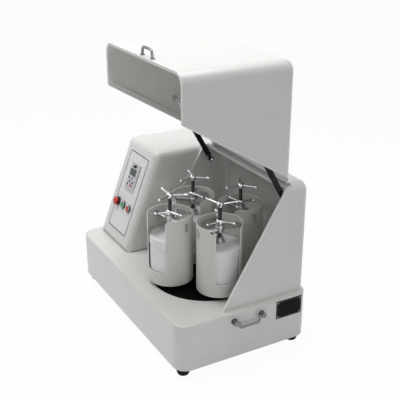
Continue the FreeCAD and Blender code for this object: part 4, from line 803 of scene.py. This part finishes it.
def switches():
    v = {"up": 138, "estopX": 71, "startX": 114, "stopX": 157, "seat": 11.6, "stem": 7.5, "head": 14.0, "tail": -12,
         "cap": [(0, -12), (9.45, -12), (9.45, 8.9), (8.8, 9.5), (7.4, 9.5), (6.2, 8.9), (0, 8.7)],
         "bezel": [(9.75, 6.2), (12.6, 6.2), (12.6, 7.3), (11.9, 7.9), (10.3, 7.9), (9.75, 7.4)],
         "flange": [(9.75, 3.4), (13.3, 3.4), (13.3, 5.7), (12.8, 6.25), (9.75, 6.25)],
         "collar": [(8.3, 1.4), (15.7, 1.4), (15.7, 5.2), (14.4, 6.7), (8.3, 6.7)]}
    seat, stem, head, tail = v["seat"], v["stem"], v["head"], v["tail"]
    places = {name: panelPlace @ at(v[name + "X"], v["up"], 0) for name in ("estop", "start", "stop")}
    mushroom = turned([(0, tail), (stem, tail), (stem, seat), (head - 1.5, seat), (head, seat + 1.2),
                       (head, seat + 3.2), (head - 2, seat + 5.7), (stem, seat + 7.2), (0, seat + 7.4)], 1.4, 64)
    made = meshPiece("mushroomHead", *moved(mushroom, places["estop"]), "red", "estop")
    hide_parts("estop_head")
    cap, bezel, flange = turned(v["cap"], 0.4), turned(v["bezel"], 0.3), turned(v["flange"], 0.5)
    for body, look in (("start", "green"), ("stop", "red")):
        made = meshPiece(body + "Cap", *moved(cap, places[body]), look, body)
        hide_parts(body + "_button")
        for kind, part, shade in (("Bezel", bezel, "bezel"), ("Flange", flange, "collar")):
            ring = meshPiece(body + "Cap" + kind, *moved(part, places[body]), shade, "base")
    ring = meshPiece("mushroomCollar", *moved(turned(v["collar"], 0.7), places["estop"]), "collar", "base")


def speedKnob():
    v = {"x": 121, "up": 281, "radius": 5.2, "foot": 4.8, "height": 8.1, "bevel": 1.2, "bevelIn": 0.9, "ribs": 18,
         "ribDepth": 0.35, "ribEnd": 0.5, "stem": [(0, -5.5), (2.4, -5.5), (2.4, 0.2), (0, 0.2)],
         "pointer": (-0.35, 1.0, 0.7, 3.0)}
    steps, high = v["ribs"] * 4, v["height"]
    profile = [(v["radius"], 0), (v["radius"], high - v["bevel"]), (v["radius"] - v["bevelIn"], high)]
    verts = []
    for r, z in profile:
        for k in range(steps):
            rib = v["ribDepth"] if k % 4 in (0, 1) and z < high - v["ribEnd"] else 0.0
            c, s = around(k, steps)
            verts.append(((r - rib) * c, (r - rib) * s, z))
    cap = (verts, barFaces(len(profile), steps))
    pointer = plate(rectangle(*v["pointer"]), high - 0.05, high + 0.15)
    place = panelPlace @ at(v["x"], v["up"], v["foot"])
    knob = meshPiece("knobCap", *moved(joined(cap, lathe(v["stem"], 20)), place), "blackPlastic", "knob")
    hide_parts("speed_knob")
    meshPiece("knobPointer", *moved(pointer, place), "bezel", "knob", smooth=False)


def feet():
    v = {"x": 336, "y": 194, "rounding": 1.2,
         "profile": [(0, 0), (15, 0), (17, 1.5), (19.8, 8), (20.7, 15), (20.2, 21), (18, 24.5), (14, 25.2), (14, 30),
                     (0, 30)]}
    for i, (sx, sy) in enumerate(((-1, -1), (1, -1), (1, 1), (-1, 1))):
        part = moved(turned(v["profile"], v["rounding"]), at(sx * v["x"], sy * v["y"], 0))
        made = meshPiece(f"rubberFoot{i}", *part, "rubber", "base")
        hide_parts("feet")


def plateDetails():
    # a fine frame line and four rivets on the bare plate
    v = {"width": 92, "height": 60, "corner": 2, "inset": 2.6, "line": 0.9, "rivet": 1.7, "rivetInset": 6.5}
    low, high = (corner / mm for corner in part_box("rating_plate"))
    place = at(high.x, (low.y + high.y) / 2, (low.z + high.z) / 2, 90) @ rotation(90, "X")
    face = (-v["width"] / 2, -v["height"] / 2, v["width"], v["height"])
    outer, inner = (rectangle(*face, v["corner"], inset) for inset in (v["inset"], v["inset"] + v["line"]))
    line = meshPiece("plateLine", *moved(plateRing(outer, inner, -0.05, 0.08), place), "cast", "base", smooth=False)
    head = turned([(0, -0.2), (v["rivet"], -0.2), (v["rivet"], 0.3), (v["rivet"] * 0.6, 0.9), (0, 1.0)], 0.3, 20)
    x, y = v["width"] / 2 - v["rivetInset"], v["height"] / 2 - v["rivetInset"]
    corners = [(sx * x, sy * y, 0) for sx in (-1, 1) for sy in (-1, 1)]
    headsAt("plateRivets", head, corners, "zinc", "base", place, 5)


def strutDetails():
    # black plastic collars at both ends of each strut cylinder
    v = {"cap": [(4.3, 150), (8.85, 150), (9.25, 151.5), (9.25, 156.5), (7.6, 158.6), (4.3, 158.6)],
         "base": [(6.1, 15.2), (7.4, 15.2), (9.2, 17.6), (9.2, 22), (8.7, 23.5), (6.1, 23.5)],
         "rounding": 0.7, "steps": 40}
    caps = joined(*(turned(v[name], v["rounding"], v["steps"]) for name in ("cap", "base")))
    for side in ("left", "right"):
        along = Vector(joints[f"strut_slide_{side}"]["axis"])
        lean = math.degrees(math.atan2(-along.y, along.z))
        place = Matrix.Translation(jointPlaces[f"strut_pivot_{side}"]) @ rotation(lean, "X")
        made = meshPiece(f"strutCaps_{side}", *moved(caps, place), "collar", f"strut_cylinder_{side}")


def strutCapNuts():
    # domed cap nuts on a dark washer at the lower pivots
    v = {"gap": 0.5, "washer": 7.6, "washerHeight": 1.2, "nut": 6.2, "nutHeight": 3.0, "dome": 5.2, "domeHeight": 6.4}
    thin, dome, high = v["washerHeight"], v["dome"], v["domeHeight"]
    washer = turned([(0, 0), (v["washer"], 0), (v["washer"], thin), (0, thin)], 0.3, 40)
    nut = turned([(0, thin), (v["nut"], thin), (v["nut"], v["nutHeight"]), (dome, v["nutHeight"] + 0.6),
                  (dome * 0.8, high - 1.0), (dome * 0.4, high), (0, high)], 0.8, 40)
    for side, face, turn in (("left", 1, 90), ("right", 0, -90)):
        pivot = jointPlaces[f"strut_pivot_{side}"]
        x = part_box(f"strut_cylinder_{side}")[face].x / mm + (v["gap"] if face else -v["gap"])
        place = at(x, pivot.y, pivot.z) @ rotation(turn, "Y")
        for name, part, look in (("strutWasher", washer, "blackPlastic"), ("strutCapNut", nut, "chrome")):
            meshPiece(f"{name}_{side}", *moved(part, place), look, "base")


def inletPins():
    v = {"x": -245, "z": housing["floorZ"] + 62, "pitch": 7, "from": 209.2, "long": 12.4, "width": 2.3, "height": 4.3,
         "corner": 0.8}
    for i in (-1, 0, 1):
        outline = rectangle(v["x"] + i * v["pitch"] - v["width"] / 2, v["from"], v["width"], v["long"], v["corner"])
        pin = plate(outline, v["z"] - v["height"] / 2, v["z"] + v["height"] / 2)
        meshPiece(f"inletPin{i + 1}", *pin, "brass", "base")


def consoleFootBead():
    # a soft dark bead along the console's foot
    v = {"radius": 1.3, "front": -146.5, "corners": (3, 3, 25, 25), "raised": 0.35}
    left, right, back = housing["consoleLeft"], housing["consoleRight"], housing["consoleBack"]
    outline = rounding([(left, v["front"]), (right, v["front"]), (right, back), (left, back)], v["corners"], 8)
    points = [(x, y, housing["floorZ"] + v["radius"] * v["raised"]) for x, y in outline]
    bead("consoleSeal", points, v["radius"], "footDark", "base", True)


def mouthEdgeHighlights():
    # rolled edges on the chamber's mouth and on the lid's, which stands open by a quarter turn; they are painted near
    # white as a painted highlight along these edges
    v = {"bead": 1.5, "within": 0.8, "corner": 34, "height": 359, "drop": 11, "left": -130, "right": 356,
         "front": -208, "footY": -72, "footGap": 0.6, "topRun": 17.5, "gap": 3, "lidFoot": 2, "arc": 10, "straight": 12}
    hinge = jointPlaces["lid_hinge"]
    low, inner, right = housing["floorZ"], v["within"], v["right"] - v["within"]
    bendZ, back = low + v["height"] - v["corner"], v["corner"] - inner
    run, rise = hinge.y - v["topRun"] - v["footY"], v["height"] - v["drop"]
    stretch = math.hypot(run, rise) / rise

    def slope(shift, foot, top):
        heights = [foot + (bendZ - foot) * i / v["straight"] for i in range(v["straight"])]
        heights += [bendZ + (top - bendZ) * i / v["arc"] for i in range(v["arc"] + 1)]
        out = []
        for z in heights:
            x = right if z <= bendZ else right - back + math.sqrt(max(back * back - (z - bendZ) ** 2, 0))
            out.append((x, v["footY"] + run * (z - low) / rise + shift, z))
        return out

    def bothSides(points):
        return points + [(v["left"] + v["right"] - x, y, z) for x, y, z in reversed(points)]

    chamber = bothSides(slope(inner * stretch, low + v["footGap"], low + rise - inner))
    bead("chamberTrim", chamber, v["bead"], "rim", "base")
    foot = low + v["lidFoot"] + inner
    path = list(reversed(slope(-(v["gap"] + inner) * stretch, foot, low + rise - inner)))
    for i in range(v["arc"] + 1):
        angle = math.pi / 2 * i / v["arc"]
        path.append((right - back + back * math.cos(angle), v["front"] + v["corner"] - back * math.sin(angle), foot))
    opened = [(x, hinge.y + z - hinge.z, hinge.z - y + hinge.y) for x, y, z in bothSides(path)]
    bead("lidTrim", opened, v["bead"], "rim", "lid")


clampScrews()
yokes()
highlightedSleeveRims()
jars()
potFlanges()
print("pots dressed")
panelDetails()
switches()
speedKnob()
print("console dressed")
feet()
plateDetails()
strutDetails()
strutCapNuts()
inletPins()
consoleFootBead()
mouthEdgeHighlights()
print("details placed")


# Floor, light and camera, in metres
def areaLight(name, place, target, size, power):
    light = bpy.data.lights.new(name, "AREA")
    light.shape = "RECTANGLE"
    light.size = light.size_y = size
    light.energy = power
    made = added(name, light)
    made.location = place
    made.rotation_euler = (Vector(target) - Vector(place)).to_track_quat("-Z", "Y").to_euler()


def shownRays(tree):
    # one for the rays that see the background: those of the camera, of mirrors and of glass
    rays = tree.nodes.new("ShaderNodeLightPath")
    seen = rays.outputs["Is Camera Ray"]
    for kind in ("Is Glossy Ray", "Is Transmission Ray"):
        seen = mathNode(tree, "MAXIMUM", seen, rays.outputs[kind])
    return seen


def mixShaders(tree, factor, first, second, surface):
    mix = tree.nodes.new("ShaderNodeMixShader")
    for value, socket in zip((factor, first.outputs[0], second.outputs[0]), mix.inputs):
        link(tree, value, socket)
    link(tree, mix.outputs[0], surface.inputs["Surface"])


def studio():
    v = {"ambient": (0.93, 0.96, 1.0, 1), "ambientStrength": 0.05, "shown": (1, 1, 1, 1), "shownStrength": 1.0,
         "lights": {"topLight": ((0.0, 0.2, 3.2), (0.0, 0.0, 0.4), 2.2, 51),
                    "keyLight": ((-0.6, -2.3, 2.8), (0.0, 0.0, 0.4), 1.4, 18),
                    "rightFill": ((3.0, -0.4, 1.5), (0.1, 0.0, 0.4), 1.8, 16),
                    "leftTop": ((-1.4, -1.0, 3.0), (-0.3, 0.0, 0.4), 1.0, 25)}}
    world = bpy.data.worlds.new("studio")
    bpy.context.scene.world = world
    world.use_nodes = True
    tree = world.node_tree
    ambient, shown = tree.nodes["Background"], tree.nodes.new("ShaderNodeBackground")
    for node, kind in ((ambient, "ambient"), (shown, "shown")):
        node.inputs["Color"].default_value = v[kind]
        node.inputs["Strength"].default_value = v[kind + "Strength"]
    mixShaders(tree, shownRays(tree), ambient, shown, tree.nodes["World Output"])
    for name, (place, target, size, power) in v["lights"].items():
        areaLight(name, place, target, size, power)


def floor():
    v = {"size": 40.0, "color": (0.93, 0.93, 0.93, 1), "roughness": 0.8, "glow": (1, 1, 1, 1), "glowShare": 0.96}
    mesh = bpy.data.meshes.new("floorPlane")
    corners = rectangle(-v["size"], -v["size"], 2 * v["size"], 2 * v["size"])
    mesh.from_pydata([(x, y, 0) for x, y in corners], [], [(0, 1, 2, 3)])
    surface = bpy.data.materials.new("floorWhite")
    surface.use_nodes = True
    tree = surface.node_tree
    shader, glow = tree.nodes["Principled BSDF"], tree.nodes.new("ShaderNodeEmission")
    shader.inputs["Base Color"].default_value = v["color"]
    shader.inputs["Roughness"].default_value = v["roughness"]
    glow.inputs["Color"].default_value = v["glow"]
    share = mathNode(tree, "MULTIPLY", shownRays(tree), v["glowShare"])
    mixShaders(tree, share, shader, glow, tree.nodes["Material Output"])
    mesh.materials.append(surface)
    added("floorPlane", mesh)


def camera():
    v = {"azimuth": 60.71, "elevation": 22.80, "distance": 2.3655, "target": (0.090, 0.0), "targetUp": 0.24575,
         "lens": 68.1, "sensor": 36, "roll": 0.08}
    azimuth, elevation = math.radians(v["azimuth"]), math.radians(v["elevation"])
    target = Vector((*v["target"], v["targetUp"] + housing["floorZ"] * mm))
    back = Vector((math.sin(azimuth) * math.cos(elevation), -math.cos(azimuth) * math.cos(elevation),
                   math.sin(elevation)))
    lens = bpy.data.cameras.new("photoCamera")
    lens.lens, lens.sensor_width = v["lens"], v["sensor"]
    made = added("photoCamera", lens)
    made.location = target + back * v["distance"]
    made.rotation_euler = (-back).to_track_quat("-Z", "Y").to_euler()
    made.rotation_euler.rotate_axis("Z", math.radians(v["roll"]))
    bpy.context.scene.camera = made


studio()
floor()
camera()
bpy.context.scene.view_settings.view_transform = "Standard"
print("studio ready")
